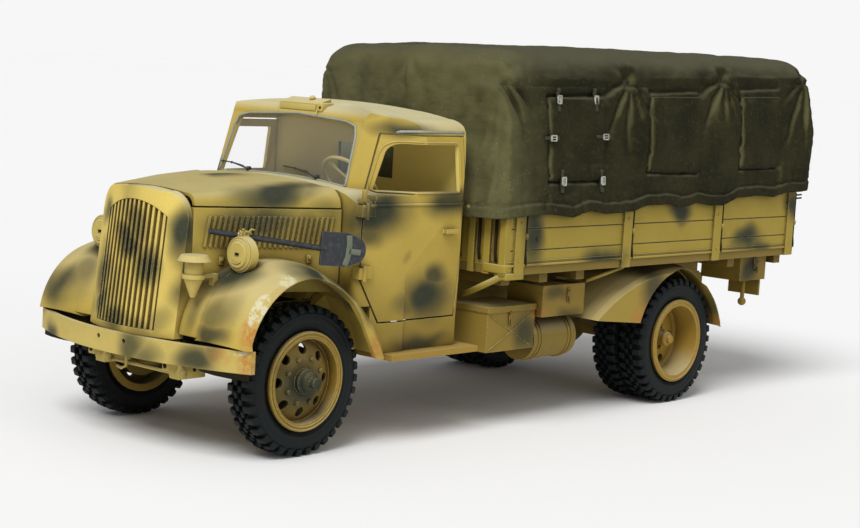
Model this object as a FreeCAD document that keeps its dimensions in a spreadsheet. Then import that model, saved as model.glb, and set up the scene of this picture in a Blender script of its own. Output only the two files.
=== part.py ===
"""1:32 scale model of a three-ton military cargo truck with a canvas cover.

Millimetres. Every piece is built with the rear axle at X = 0, +X towards the bumper, +Y to the
truck's left and Z = 0 on the ground, and its Placement then moves it so that the whole truck's
bounding box is centred on the origin. Each size has one named cell in the sheet "Sizes".
"""
import FreeCAD, Part
import Sketcher
import math
import os
import re

V = FreeCAD.Vector
SIDES = (("left", 1), ("right", -1))

# ------------------------------------------------------------------ driving sizes
# alias, value; a text value follows other sizes
SIZES = (
    # whole truck
    ("wheelbase", 112.5), ("front_overhang", 25.0), ("rear_overhang", 48.0),
    # wheels: centre planes of the tyres, tyre and rim sections
    ("tyre_radius", 14.27), ("tyre_width", 6.4), ("tread_width", 4.8), ("shoulder_radius", 13.3),
    ("lugs", 32), ("lug_share", 0.5), ("lug_root", 13.4),
    ("bead_radius", 8.6), ("bead_width", 5.6), ("rim_flange_radius", 9.42), ("rim_width", 6.8),
    ("rim_wall", 0.6), ("front_track_half", 23.2), ("rear_outer_y", 29.0), ("twin_spacing", 7.4),
    ("front_vents", 8), ("rear_vents", 6), ("vent_radius", 1.0), ("vent_circle", 6.0), ("disc_wall", 0.7), ("wheel_hub_radius", 2.4),
    ("front_hub_out", 4.4), ("front_hub_in", 0.4), ("front_disc_out", 2.6), ("front_disc_root", 1.0),
    ("rear_dish_root", 1.2), ("nut_circle", 3.5), ("nut_radius", 0.45),
    ("spindle_radius", 1.3), ("running_fit", 0.05), ("bore_end_gap", 0.3),
    # axles, knuckles and springs
    ("beam_width", 2.6), ("beam_depth", 2.7), ("beam_top", 15.6), ("kingpin_y", 17.6),
    ("kingpin_radius", 0.8), ("eye_radius", 1.7), ("eye_height", 3.8), ("fork_gap", 0.15),
    ("fork_thickness", 1.2), ("fork_width", 4.4), ("fork_web", 0.8), ("drum_radius", 6.2),
    ("front_drum_width", 2.4), ("steer_arm", 9.0), ("arm_width", 2.2),
    ("tie_rod_radius", 0.6), ("tie_pin_radius", 0.5), ("tie_pin_drop", 1.0),
    ("axle_tube_radius", 2.0), ("diff_radius", 5.2), ("rear_drum_width", 4.2),
    ("rear_axle_half", 17.4),
    ("spring_y", 10.5), ("spring_width", 2.2), ("leaf_thickness", 0.6), ("front_spring_half", 13.5),
    ("rear_spring_half", 17.0),
    # chassis
    ("rail_y", 10.5), ("rail_width", 2.0), ("rail_bottom", 21.0), ("rail_height", 5.0),
    ("rail_back", -39.0), ("rail_front", "=shell_back - 0.2"), ("rail_wall", 0.6), ("cross_width", 2.4), ("rear_cross", 24.0),
    ("shaft_radius", 1.0), ("gearbox_length", 15.0), ("gearbox_half", 4.0),
    ("engine_back", "=wheelbase - 9"), ("engine_front", "=wheelbase + 12"), ("engine_half", 6.5), ("engine_bottom", 20.0),
    ("engine_top", 40.0),
    # bumper
    ("bumper_half", 30.4), ("bumper_sweep", 7.2), ("bumper_bottom", 17.7), ("bumper_top", 21.8),
    ("bumper_wall", 1.0), ("bumper_hole_y", 3.65), ("bumper_hole_radius", 0.45),
    # radiator shell, grille and bonnet
    ("shell_half", 12.2), ("shell_bottom", 21.6), ("shell_top", 48.6), ("shell_back", "=wheelbase + 16.9"),
    ("shell_bow", 3.1), ("shell_lean", 6.0), ("shell_front", "=wheelbase + 20.9"), ("shell_wall", 1.1),
    ("grille_half", 8.3), ("grille_bottom", 22.8), ("grille_top", 46.2), ("bar_width", 0.5),
    ("bar_depth", 0.8), ("grille_shoulder", 43.6),
    ("split_z", 45.8), ("bonnet_back", "=wheelbase - 11"), ("bonnet_back_half", 22.7), ("bonnet_crown", 50.6),
    ("bonnet_wall", 0.8), ("panel_gap", 0.3), ("side_bottom", 30.0),
    ("louvre_back", "=bonnet_back + 2.4"), ("louvre_front", "=shell_back - 1.4"), ("louvre_bottom", 38.4), ("louvre_top", 44.2),
    ("louvre_depth", 0.35), ("louvres", 24), ("louvre_width", 0.5), ("louvre_slant", 0.9),
    ("grille_bars", 13),
    # cab
    ("cab_back", "=wheelbase - 41"), ("cab_front", "=wheelbase - 11.3"), ("cab_half", 28.8), ("cab_front_half", 26.8),
    ("cab_bottom_half", 27.0), ("sill_bottom", 18.25), ("belt_z", 46.8), ("eaves_z", 59.8),
    ("eaves_half", 27.2), ("roof_z", 65.6), ("cab_wall", 0.9), ("cab_floor", 27.0),
    ("floor_half", 24.9),
    ("screen_base_x", "=wheelbase - 15.9"), ("screen_base_z", 49.0), ("screen_top_x", "=wheelbase - 20.3"), ("screen_top_z", 63.2),
    ("screen_half", 18.0), ("glass_wall", 0.4), ("cowl_crown", 50.4), ("cowl_edge", 46.8),
    ("shelf_z", 48.6), ("taper_back", "=wheelbase - 27.0"), ("taper_half", 19.0), ("frame_front", "=wheelbase - 18.2"),
    ("door_back", "=cab_back + 1.1"), ("door_front", "=wheelbase - 12.3"), ("door_bottom", 24.0), ("door_top", 60.2),
    ("window_back", "=door_back + 2"), ("window_front", "=wheelbase - 19.6"), ("window_bottom", 49.2), ("window_top", 58.3),
    ("hinge_out", 1.0), ("hinge_radius", 0.55),
    ("seat_height", 36.0), ("seat_half", 22.0), ("seat_back_height", 47.5), ("steer_wheel_radius", 6.4),
    # fenders and steps
    ("fender_in", 13.2), ("fender_out", 30.8), ("fender_wall", 0.9), ("fender_round", 5.0),
    ("step_back", "=cab_back - 3.1"), ("step_in", 26.0), ("step_out", 30.4), ("step_bottom", 17.0),
    ("step_thickness", 1.2),
    ("rear_fender_in", 17.2), ("rear_fender_out", 34.0), ("rear_fender_top", 32.6),
    # lamps, shovel, roof sign
    ("lamp_x", "=wheelbase + 12.1"), ("lamp_y", 19.8), ("lamp_z", 37.7), ("lamp_radius", 3.3),
    ("lamp_depth", 3.4), ("convoy_x", "=wheelbase + 19.4"), ("convoy_y", 15.9), ("convoy_z", 33.2),
    ("handle_radius", 0.55), ("sign_width", 11.0),
    # bed
    ("bed_front", "=cab_back - 4.6"), ("bed_back", -42.5), ("bed_half", 35.3), ("floor_bottom", 32.8),
    ("floor_thickness", 1.8), ("board_thickness", 1.0), ("board_top", 48.0), ("post_width", 3.0),
    ("post_out", 0.5), ("sill_width", 2.6), ("rear_sill", -21.5), ("middle_post", 25.4), ("third_post", -9.6), ("cross_depth", 2.4), ("plank_groove", 0.25),
    # canvas
    ("canvas_wall", 0.9), ("hem_z", 43.8), ("canvas_top", 78.2), ("canvas_eaves_half", 33.4),
    # boxes under the bed
    ("toolbox_back", "=toolbox_front - 15.3"), ("toolbox_front", "=bed_front - 1.6"), ("toolbox_in", 19.0), ("toolbox_out", 30.0),
    ("rib_width", 0.6), ("toolbox_bottom", 16.3), ("toolbox_top", 25.6),
    ("upper_box_back", 35.4), ("upper_box_front", "=toolbox_back - 0.3"), ("upper_box_in", 22.0),
    ("upper_box_out", 31.6), ("upper_box_bottom", 21.4), ("upper_box_top", 29.4),
    ("tank_radius", 4.6), ("tank_z", 17.6), ("tank_back", "=upper_box_back"), ("tank_front", "=upper_box_front"),
    ("tank_y", 25.5),
    ("locker_back", -38.0), ("locker_front", -26.7), ("locker_in", 20.0), ("locker_out", 31.0),
    ("plate_rod_radius", 0.5), ("locker_bottom", 26.4),
    # towing jaw
    ("jaw_length", 4.4), ("jaw_width", 3.6), ("jaw_height", 1.6), ("jaw_bottom", 22.0),
    ("jaw_hole_radius", 0.8),
)

doc = FreeCAD.newDocument("CargoTruck")
sheet = doc.addObject("Spreadsheet::Sheet", "Sizes")
for row, (alias, value) in enumerate(SIZES, start=1):
    sheet.set("A%d" % row, alias)
    sheet.setAlias("B%d" % row, alias)
for row, (alias, value) in enumerate(SIZES, start=1):
    sheet.set("B%d" % row, str(value))
doc.recompute()


class Sizes:
    """Reads a driving size from the sheet by its alias."""

    def __getattr__(self, alias):
        value = float(sheet.get(alias))
        return round(value) if alias in COUNTS else value


s = Sizes()
COUNTS = ("lugs", "louvres", "grille_bars", "front_vents", "rear_vents")
ALIASES = {alias for alias, value in SIZES}
REAR_AXLE_X = "(rear_overhang - wheelbase - front_overhang) / 2"


# ------------------------------------------------------------------ document helpers
def bound(expression):
    """Writes the sheet's name before each alias of an expression."""
    return re.sub(r"[a-z_]+[a-z_0-9]*", lambda m: "Sizes." + m[0] if m[0] in ALIASES else m[0],
                  str(expression))


def bind(obj, **expressions):
    for prop, expression in expressions.items():
        obj.setExpression(prop.replace("__", "."), bound(expression))
    return obj


def block(x, y, z):
    """A box between two expressions along each axis."""
    obj = doc.addObject("Part::Box", "Block")
    names = ("Length", "Width", "Height")
    for name, axis, (low, high) in zip(names, "xyz", (x, y, z)):
        obj.setExpression(name, bound("(%s) - (%s)" % (high, low)))
        obj.setExpression("Placement.Base." + axis, bound(low))
    return obj


TURNS = {"X": FreeCAD.Rotation(V(0, 1, 0), 90), "Y": FreeCAD.Rotation(V(1, 0, 0), -90),
         "Z": FreeCAD.Rotation()}


def rod(axis, radius, start, length):
    """A cylinder from the start point, along +X, +Y or +Z."""
    obj = doc.addObject("Part::Cylinder", "Rod")
    obj.Placement = FreeCAD.Placement(V(), TURNS[axis])
    bind(obj, Radius=radius, Height=length, Placement__Base__x=start[0],
         Placement__Base__y=start[1], Placement__Base__z=start[2])
    return obj


def joined(*pieces):
    if len(pieces) == 1:
        return pieces[0]
    obj = doc.addObject("Part::MultiFuse", "Joined")
    obj.Shapes = list(pieces)
    obj.Refine = True
    return obj


def carved(base, *tools):
    obj = doc.addObject("Part::Cut", "Carved")
    obj.Base = base
    obj.Tool = joined(*tools)
    return obj


def solid(shape):
    """A document object from a shape, with the shape's own move worked into its geometry."""
    shape = shape.copy()
    move = shape.Placement.toMatrix()
    shape.Placement = FreeCAD.Placement()
    shape.transformShape(move, True)
    obj = doc.addObject("Part::Feature", "Solid")
    obj.Shape = shape
    return obj


parts = []


def keep(name, obj):
    """Names a sub-part and moves it from the rear axle's frame to the truck's own frame."""
    obj.Label = name
    start = [text for where, text in obj.ExpressionEngine if where.endswith("Placement.Base.x")]
    shift = bound(REAR_AXLE_X)
    obj.setExpression("Placement.Base.x", "%s + %s" % (start[0], shift) if start else shift)
    parts.append(obj)
    return obj


def shape_of(label):
    """The shape of a sub-part kept earlier, still in the rear axle's frame."""
    return next(obj.Shape for obj in parts if obj.Label == label)


def span(side, low, high):
    """The two expressions of a y range, in order, on the given side."""
    return (low, high) if side > 0 else ("-(%s)" % high, "-(%s)" % low)


# ------------------------------------------------------------------ shape helpers
def path(points, plane="XZ", level=0.0, closed=True):
    """A face from an outline: each entry is a corner (a, b), or (a, b, 'arc') for a point that
    an arc passes through between its two neighbours."""
    place = {"XZ": lambda a, b: V(a, level, b), "YZ": lambda a, b: V(level, a, b),
             "XY": lambda a, b: V(a, b, level)}[plane]
    ring = list(points) + [points[0]]
    edges, i = [], 0
    while i < len(ring) - 1:
        a, b = ring[i], ring[i + 1]
        if len(b) == 3:
            c = ring[i + 2]
            edges.append(Part.Arc(place(*a[:2]), place(*b[:2]), place(*c[:2])).toShape())
            i += 2
        else:
            edges.append(Part.LineSegment(place(*a[:2]), place(*b[:2])).toShape())
            i += 1
    return Part.Wire(edges)


def slab(points, plane, low, high):
    """An outline pushed from low to high along the plane's normal."""
    normal = {"XZ": V(0, 1, 0), "YZ": V(1, 0, 0), "XY": V(0, 0, 1)}[plane]
    return Part.Face(path(points, plane, low)).extrude(normal * (high - low))


def cuboid(x, y, z):
    return Part.makeBox(x[1] - x[0], y[1] - y[0], z[1] - z[0], V(x[0], y[0], z[0]))


def mirrored(shape, side):
    return shape if side > 0 else shape.mirror(V(), V(0, 1, 0))


def turned(profile, centre):
    """Turns a half-section of (radius, y) corners about the Y axis through the centre."""
    wire = Part.makePolygon([V(r, y, 0) for r, y in profile] + [V(profile[0][0], profile[0][1], 0)])
    shape = Part.Face(wire).revolve(V(), V(0, 1, 0), 360)
    shape.translate(centre)
    return shape


# ------------------------------------------------------------------ wheels
def ring_of(radius, y, x):
    """A many-sided ring about the wheel's centre, with a corner straight below it."""
    points = []
    for k in range(s.lugs):
        angle = 2 * math.pi * k / s.lugs - math.pi / 2
        points.append(V(x + radius * math.cos(angle), y, s.tyre_radius + radius * math.sin(angle)))
    return Part.makePolygon(points + points[:1])


def tyre(centre_y, x):
    """A flat-faced carcass with a ring of lugs across its tread."""
    half, bead, tread = s.tyre_width / 2, s.bead_width / 2, s.tread_width / 2
    belly = (s.bead_radius + s.shoulder_radius) / 2
    side = ((s.bead_radius + 1, bead), (belly, half), (s.shoulder_radius - 0.3, half - 0.15),
            (s.shoulder_radius, tread))
    profile = [(r, -y) for r, y in side] + [(r, y) for r, y in reversed(side)]
    carcass = Part.makeLoft([ring_of(r, centre_y + y, x) for r, y in profile], True, True)
    points = []
    step = 2 * math.pi / s.lugs
    for k in range(s.lugs):
        for share, radius in ((0.0, s.tyre_radius), (s.lug_share, s.tyre_radius),
                              (s.lug_share + 0.08, s.lug_root), (0.92, s.lug_root)):
            angle = step * (k + share) - math.pi / 2
            points.append(V(x + radius * math.cos(angle), centre_y - tread,
                            s.tyre_radius + radius * math.sin(angle)))
    lugs = Part.Face(Part.makePolygon(points + points[:1])).extrude(V(0, s.tread_width, 0))
    bore = Part.Face(ring_of(s.bead_radius / math.cos(step / 2), centre_y - half - 1, x))
    bore = bore.extrude(V(0, s.tyre_width + 2, 0))
    return carcass.fuse(lugs).cut(bore).removeSplitter()


def rim_barrel(centre_y, x):
    half, bead = s.rim_width / 2, s.bead_width / 2
    inner = s.bead_radius - s.rim_wall
    profile = ((inner, -half), (s.rim_flange_radius, -half), (s.rim_flange_radius, -bead),
               (s.bead_radius, -bead), (s.bead_radius, bead), (s.rim_flange_radius, bead),
               (s.rim_flange_radius, half), (inner, half))
    return turned(profile, V(x, centre_y, s.tyre_radius))


def holes(count, circle, radius, x, y0, y1, phase=0.0):
    """Round tools along Y on a circle about the wheel's centre."""
    tools = []
    for k in range(count):
        angle = 2 * math.pi * (k + phase) / count
        at = V(x + circle * math.cos(angle), y0, s.tyre_radius + circle * math.sin(angle))
        tools.append(Part.makeCylinder(radius, y1 - y0, at, V(0, 1, 0)))
    return tools


def front_rim(x):
    """Rim, bulged disc with eight round vents, and a hub that stands proud."""
    y, inner, wall = s.front_track_half, s.bead_radius - s.rim_wall, s.disc_wall
    root, out, hub = y + s.front_disc_root, y + s.front_disc_out, s.wheel_hub_radius
    disc = turned(((inner + 0.2, root), (hub + 1.6, out), (0, out), (0, out - wall),
                   (hub + 1.6, out - wall), (inner + 0.2, root - wall)), V(x, 0, s.tyre_radius))
    bore = s.spindle_radius + s.running_fit
    deep = y + s.rim_width / 2 - 0.4
    barrel = turned(((0, y + s.front_hub_out), (hub * 0.55, y + s.front_hub_out), (hub, out + 0.9),
                     (hub, y - s.front_hub_in), (bore, y - s.front_hub_in), (bore, deep), (0, deep)),
                    V(x, 0, s.tyre_radius))
    disc = disc.cut(Part.makeCylinder(bore, 4, V(x, out - 3, s.tyre_radius), V(0, 1, 0)))
    vents = holes(s.front_vents, s.vent_circle, s.vent_radius, x, y - 1, y + 5)
    return rim_barrel(y, x).fuse([disc.cut(vents), barrel]).removeSplitter()


def rear_rims():
    """Two rims bolted back to back; the outer one is a deep dish."""
    inner, wall, hub = s.bead_radius - s.rim_wall, s.disc_wall, s.wheel_hub_radius
    outer_y, inner_y = s.rear_outer_y, s.rear_outer_y - s.twin_spacing
    middle = (outer_y + inner_y) / 2
    bore = s.spindle_radius + s.running_fit
    zed = s.tyre_radius
    profile = [(inner + 0.2, s.rear_dish_root + middle), (s.vent_circle + 1.4, middle + wall),
               (hub + 1.9, middle + wall), (hub + 1.9, middle + wall + 0.5), (bore, middle + wall + 0.5)]
    profile += [(bore, middle - wall), (s.vent_circle + 1.4, middle - wall),
                (inner + 0.2, middle - s.rear_dish_root)]
    disc = turned(profile, V(0, 0, zed))
    vents = holes(s.rear_vents, s.vent_circle, s.vent_radius, 0, middle - 3, middle + 4)
    deep = middle + 3.4
    barrel = turned(((0, deep + 0.9), (hub * 0.6, deep + 0.9), (hub * 0.8, middle),
                     (hub, middle - 1), (hub, inner_y - 1.6), (bore, inner_y - 1.6), (bore, deep),
                     (0, deep)), V(0, 0, zed))
    pieces = [rim_barrel(inner_y, 0), disc.cut(vents), barrel]
    return rim_barrel(outer_y, 0).fuse(pieces).removeSplitter()


def build_wheels():
    rear_inner = s.rear_outer_y - s.twin_spacing
    for name, side in SIDES:
        keep("tyre_front_" + name, solid(mirrored(tyre(s.front_track_half, s.wheelbase), side)))
        keep("rim_front_" + name, solid(mirrored(front_rim(s.wheelbase), side)))
        pair = Part.makeCompound([tyre(s.rear_outer_y, 0), tyre(rear_inner, 0)])
        keep("tyres_rear_" + name, solid(mirrored(pair, side)))
        keep("rims_rear_" + name, solid(mirrored(rear_rims(), side)))


# ------------------------------------------------------------------ axles and steering
def build_front_axle():
    half = "beam_width / 2"
    eye_bottom = "(beam_top - beam_depth / 2 - eye_height / 2)"
    eyes = [rod("Z", "eye_radius", ("wheelbase", "%d * kingpin_y" % side, eye_bottom), "eye_height")
            for _, side in SIDES]
    bores = [rod("Z", "kingpin_radius + running_fit",
                 ("wheelbase", "%d * kingpin_y" % side, eye_bottom + " - 1"), "eye_height + 2")
             for _, side in SIDES]
    beam = block(("wheelbase - " + half, "wheelbase + " + half), ("-kingpin_y", "kingpin_y"),
                 ("beam_top - beam_depth", "beam_top"))
    keep("front_axle", carved(joined(beam, *eyes), *bores))


def fork_levels():
    """Heights of the fork's four faces, from the lowest."""
    middle = s.beam_top - s.beam_depth / 2
    low = middle - s.eye_height / 2 - s.fork_gap
    high = middle + s.eye_height / 2 + s.fork_gap
    return low - s.fork_thickness, low, high, high + s.fork_thickness


def tie_pin_at():
    """The tie rod pin's place beside the left knuckle."""
    return s.wheelbase - s.steer_arm, s.kingpin_y


def build_knuckles():
    x, y, zed = s.wheelbase, s.kingpin_y, s.tyre_radius
    z0, z1, z2, z3 = fork_levels()
    web_y = y + s.eye_radius + s.fork_gap
    face = web_y + s.fork_web
    half = s.fork_width / 2
    end_x, end_y = tie_pin_at()
    for name, side in SIDES:
        shape = cuboid((x - half, x + half), (web_y, face), (z0, z3))
        for low, high in ((z0, z1), (z2, z3)):
            lug = cuboid((x - half, x + half), (y, face), (low, high))
            shape = shape.fuse([lug, Part.makeCylinder(half, high - low, V(x, y, low))])
        arm = slab(((x, y + s.arm_width / 2), (x, y - s.arm_width / 2),
                    (end_x, end_y - s.arm_width / 2), (end_x, end_y + s.arm_width / 2)), "XY", z0, z1)
        shape = shape.fuse([Part.makeCylinder(s.kingpin_radius, z3 - z0, V(x, y, z0)), arm,
                            Part.makeCylinder(s.arm_width / 2, z1 - z0, V(end_x, end_y, z0))])
        pin_bore = s.tie_pin_radius + s.running_fit
        shape = shape.cut(Part.makeCylinder(pin_bore, z1 - z0 + 2, V(end_x, end_y, z0 - 1)))
        drum = Part.makeCylinder(s.drum_radius, s.front_drum_width, V(x, face, zed), V(0, 1, 0))
        tip = s.front_track_half + s.rim_width / 2 - 0.4 - s.bore_end_gap
        spindle = Part.makeCylinder(s.spindle_radius, tip - face, V(x, face, zed), V(0, 1, 0))
        shape = shape.fuse([drum, spindle]).removeSplitter()
        keep("knuckle_" + name, solid(mirrored(shape, side)))


def build_tie_rod():
    """A cross rod below the steering arms, with an upright pin in each arm's eye."""
    z0, z1, _, _ = fork_levels()
    end_x, end_y = tie_pin_at()
    level = z0 - s.tie_pin_drop
    shape = Part.makeCylinder(s.tie_rod_radius, 2 * end_y, V(end_x, -end_y, level), V(0, 1, 0))
    for _, side in SIDES:
        at = V(end_x, side * end_y, level)
        eye = Part.makeCylinder(s.tie_rod_radius + 0.3, s.tie_pin_drop - s.fork_gap + 0.5,
                                at - V(0, 0, 0.5))
        pin = Part.makeCylinder(s.tie_pin_radius, z1 - level, at)
        shape = shape.fuse([pin, eye])
    keep("tie_rod", solid(shape.removeSplitter()))


def build_rear_axle():
    zed = s.tyre_radius
    shape = Part.makeCylinder(s.axle_tube_radius, 2 * s.rear_axle_half, V(0, -s.rear_axle_half, zed),
                              V(0, 1, 0))
    ball = Part.makeSphere(s.diff_radius, V(0, 0, zed))
    nose = Part.makeCone(s.diff_radius * 0.8, 1.8, 7.5, V(0, 0, zed), V(1, 0, 0))
    shape = shape.fuse([ball, nose])
    inner_y = s.rear_outer_y - s.twin_spacing
    middle = inner_y + s.twin_spacing / 2
    for _, side in SIDES:
        start = V(0, side * s.rear_axle_half, zed)
        drum = Part.makeCylinder(s.drum_radius, s.rear_drum_width, start, V(0, side, 0))
        drum = drum.cut(Part.makeCylinder(s.wheel_hub_radius + 0.4, s.rear_drum_width,
                                          start + V(0, side * 1.0, 0), V(0, side, 0)))
        tip = middle + 3.4 - s.bore_end_gap
        spindle = Part.makeCylinder(s.spindle_radius, tip - s.rear_axle_half, start, V(0, side, 0))
        shape = shape.fuse([drum, spindle])
    keep("rear_axle", solid(shape.removeSplitter()))


def spring(x, side, half, seat):
    """Three arched leaves on the axle, with a shackle at each end up to the rail."""
    y0 = side * s.spring_y - s.spring_width / 2
    y1 = y0 + s.spring_width
    climb = s.rail_bottom - seat - 3 * s.leaf_thickness - 0.1
    pieces = []
    for k in range(3):
        reach = half * (1 - 0.27 * k)
        low, high = seat + s.leaf_thickness * (2 - k), seat + s.leaf_thickness * (3 - k)
        rise = climb * (reach / half) ** 2
        outline = ((x - reach, low + rise), (x, low, "arc"), (x + reach, low + rise),
                   (x + reach, high + rise), (x, high, "arc"), (x - reach, high + rise))
        pieces.append(slab(outline, "XZ", y0, y1))
    top = seat + 3 * s.leaf_thickness + climb
    for end in (x - half, x + half):
        inward = 1.2 if end < x else -1.2
        ends = sorted((end, end + inward))
        pieces.append(cuboid(ends, (y0, y1), (top - 0.9, s.rail_bottom)))
    return pieces[0].fuse(pieces[1:]).removeSplitter()


def build_springs():
    front = [spring(s.wheelbase, side, s.front_spring_half, s.beam_top) for _, side in SIDES]
    keep("front_springs", solid(Part.makeCompound(front)))
    seat = s.tyre_radius + s.axle_tube_radius
    rear = [spring(0, side, s.rear_spring_half, seat) for _, side in SIDES]
    keep("rear_springs", solid(Part.makeCompound(rear)))


# ------------------------------------------------------------------ chassis
def build_chassis():
    z = ("rail_bottom", "rail_bottom + rail_height")
    pieces = []
    for _, side in SIDES:
        outer = span(side, "rail_y - rail_width / 2", "rail_y + rail_width / 2")
        pieces.append(block(("rail_back", "rail_front"), outer, z))
    ends = ("-rail_y", "rail_y")
    for x in ("rail_back", "rear_cross", "bed_front - 8.9", "wheelbase - 26.5", "rail_front - 6.1"):
        pieces.append(block((x, x + " + cross_width"), ends,
                            ("rail_bottom + rail_wall", "rail_bottom + rail_height - rail_wall")))
    keep("chassis_frame", joined(*pieces))


def build_driveline():
    box_back = s.wheelbase - 27.5
    start, end = V(box_back, 0, 22.5), V(8.0, 0, s.tyre_radius)
    run = end - start
    shaft = Part.makeCylinder(s.shaft_radius, run.Length, start, run)
    box = cuboid((box_back, box_back + s.gearbox_length), (-s.gearbox_half, s.gearbox_half), (18, 25.5))
    box = box.cut(cuboid((box_back + 0.9, box_back + 3.5), (-9, 9), (21.5, 25.6)))
    keep("driveline", solid(box.fuse(shaft).removeSplitter()))


def build_engine():
    keep("engine", block(("engine_back", "engine_front - 1.5"), ("-engine_half", "engine_half"),
                         ("engine_bottom", "engine_top")))


def build_bumper():
    half, sweep = s.bumper_half, s.bumper_sweep
    front = s.wheelbase + s.front_overhang
    outline = ((front - sweep, -half), (front, 0, "arc"), (front - sweep, half),
               (front - sweep - s.bumper_wall, half), (front - s.bumper_wall, 0, "arc"),
               (front - sweep - s.bumper_wall, -half))
    shape = slab(outline, "XY", s.bumper_bottom, s.bumper_top)
    for _, side in SIDES:
        y = side * s.rail_y
        arm = cuboid((s.rail_front, front - 1.5), (y - 0.9, y + 0.9), (s.bumper_bottom + 0.8, 21.1))
        foot = cuboid((s.rail_front - 3, s.rail_front + 0.1), (y - 0.9, y + 0.9),
                      (s.rail_bottom - 2, s.rail_bottom))
        shape = shape.fuse([arm, foot])
        hole = Part.makeCylinder(s.bumper_hole_radius, 6, V(front - 4, side * s.bumper_hole_y, 20.4),
                                 V(1, 0, 0))
        shape = shape.cut(hole)
    keep("bumper", solid(shape.removeSplitter()))


# ------------------------------------------------------------------ radiator shell and bonnet
def lean(shape):
    """Leans a shape built upright at the shell's foot back about the shell's bottom edge."""
    shape = shape.copy()
    shape.rotate(V(s.shell_front + 2.4, 0, s.shell_bottom), V(0, 1, 0), -s.shell_lean)
    return shape


def shell_outline(inset, foot=0.0):
    """Front view of the shell: straight flanks, round shoulders and a flat crown."""
    half, top = s.shell_half - inset, s.shell_top - inset
    zed = s.shell_bottom + foot
    return ((-half, zed), (-half, top - 5.2), (-half * 0.86, top - 1.75, "arc"), (-half * 0.5, top - 0.4),
            (0, top, "arc"), (half * 0.5, top - 0.4), (half * 0.86, top - 1.75, "arc"),
            (half, top - 5.2), (half, zed))


def shell_depth(inset):
    """Plan of the shell: bowed front, flat back."""
    foot = s.shell_front + 2.4
    half = s.shell_half + 2
    bow = s.shell_bow * (half / s.shell_half) ** 2
    return ((s.shell_back - 0.5, -half), (foot - bow - inset, -half), (foot - inset, 0, "arc"),
            (foot - bow - inset, half), (s.shell_back - 0.5, half))


def build_shell():
    low, high = s.shell_bottom - 8, s.shell_top + 8
    outer = slab(shell_outline(0), "YZ", s.shell_back - 20, s.shell_back + 20)
    outer = outer.common(lean(slab(shell_depth(0), "XY", low, high)))
    inner = slab(shell_outline(s.shell_wall, -9), "YZ", s.shell_back - 21, s.shell_back + 21)
    inner = inner.common(lean(slab(shell_depth(s.shell_wall), "XY", low - 2, high)))
    back = cuboid((s.shell_back - 30, s.shell_back), (-20, 20), (0, 60))
    opening = slab(grille_outline(0), "YZ", s.shell_back - 9, s.shell_back + 20)
    keep("radiator_shell", solid(outer.cut([inner, back, opening]).removeSplitter()))


def grille_outline(inset):
    half, top = s.grille_half - inset, s.grille_top - inset
    return ((-half, s.grille_bottom + inset), (-half, s.grille_shoulder), (0, top, "arc"),
            (half, s.grille_shoulder), (half, s.grille_bottom + inset))


def build_grille():
    """Upright bars in the shell's opening, carried by a plate behind them."""
    low, high = s.shell_bottom - 8, s.shell_top + 8
    count = s.grille_bars
    gap = 0.05
    window = slab(grille_outline(gap), "YZ", s.shell_back - 9, s.shell_back + 20)
    band = lean(slab(shell_depth(0.1), "XY", low, high)).cut(
        lean(slab(shell_depth(0.1 + s.bar_depth), "XY", low - 1, high + 1)))
    plate = lean(slab(shell_depth(0.1 + s.bar_depth), "XY", low, high)).cut(
        lean(slab(shell_depth(0.6 + s.bar_depth), "XY", low - 1, high + 1)))
    pitch = 2 * (s.grille_half - gap) / count
    bars = []
    for k in range(count):
        y = -s.grille_half + gap + pitch * (k + 0.5)
        bars.append(cuboid((s.shell_back - 9, s.shell_back + 20), (y - s.bar_width / 2, y + s.bar_width / 2), (10, 60)))
    front = band.common(Part.makeCompound(bars))
    shape = plate.common(window).fuse(front.common(window).Solids)
    shape = shape.cut(cuboid((s.shell_back - 30, s.shell_back), (-20, 20), (0, 60)))
    keep("grille", solid(shape.removeSplitter()))


def build_radiator():
    back = s.shell_back - 3.6
    shape = cuboid((back, s.shell_back - 0.3), (-s.shell_half + 2.2, s.shell_half - 2.2), (20.8, 45))
    shape = shape.cut(cuboid((back - 1, s.shell_back + 10), (-11.6, 11.6), (10, 26.2)))
    feet = [cuboid((back, s.shell_back - 0.3), sorted((side * 8.4, side * 9.4)), (21.5, 27))
            for _, side in SIDES]
    keep("radiator", solid(shape.fuse(feet).removeSplitter()))


def bonnet_section(x, half, base, crown, inset=0.0):
    """A bonnet section: rounded shoulders under a flat crown."""
    half -= inset
    rise = crown - inset - base
    outline = ((-half, base), (-half * 0.965, base + rise * 0.5, "arc"), (-half * 0.8, base + rise * 0.8),
               (0, base + rise, "arc"), (half * 0.8, base + rise * 0.8),
               (half * 0.965, base + rise * 0.5, "arc"), (half, base))
    return path(outline, "YZ", x)


def bonnet_half(x):
    """Half-width of the bonnet at x, straight from the shell to the cab."""
    share = (x - s.bonnet_back) / (s.shell_back - s.bonnet_back)
    return s.bonnet_back_half + (s.shell_half - s.bonnet_back_half) * share


def build_bonnet():
    front, back = s.shell_back - s.panel_gap, s.bonnet_back + s.panel_gap
    base, middle = s.split_z + s.panel_gap / 2, (s.shell_back + s.bonnet_back) / 2
    stations = ((back, s.bonnet_crown), (middle, s.bonnet_crown - 0.5), (front, s.shell_top + 0.1))
    outer = Part.makeLoft([bonnet_section(x, bonnet_half(x), base, crown) for x, crown in stations],
                          True, True)
    inner = Part.makeLoft([bonnet_section(x, bonnet_half(x), base - 0.01, crown, s.bonnet_wall)
                           for x, crown in ((back - 0.1, s.bonnet_crown),) + stations[1:2]
                           + ((front + 0.1, s.shell_top + 0.1),)], True, True)
    keep("bonnet", solid(outer.cut(inner).removeSplitter()))


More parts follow.
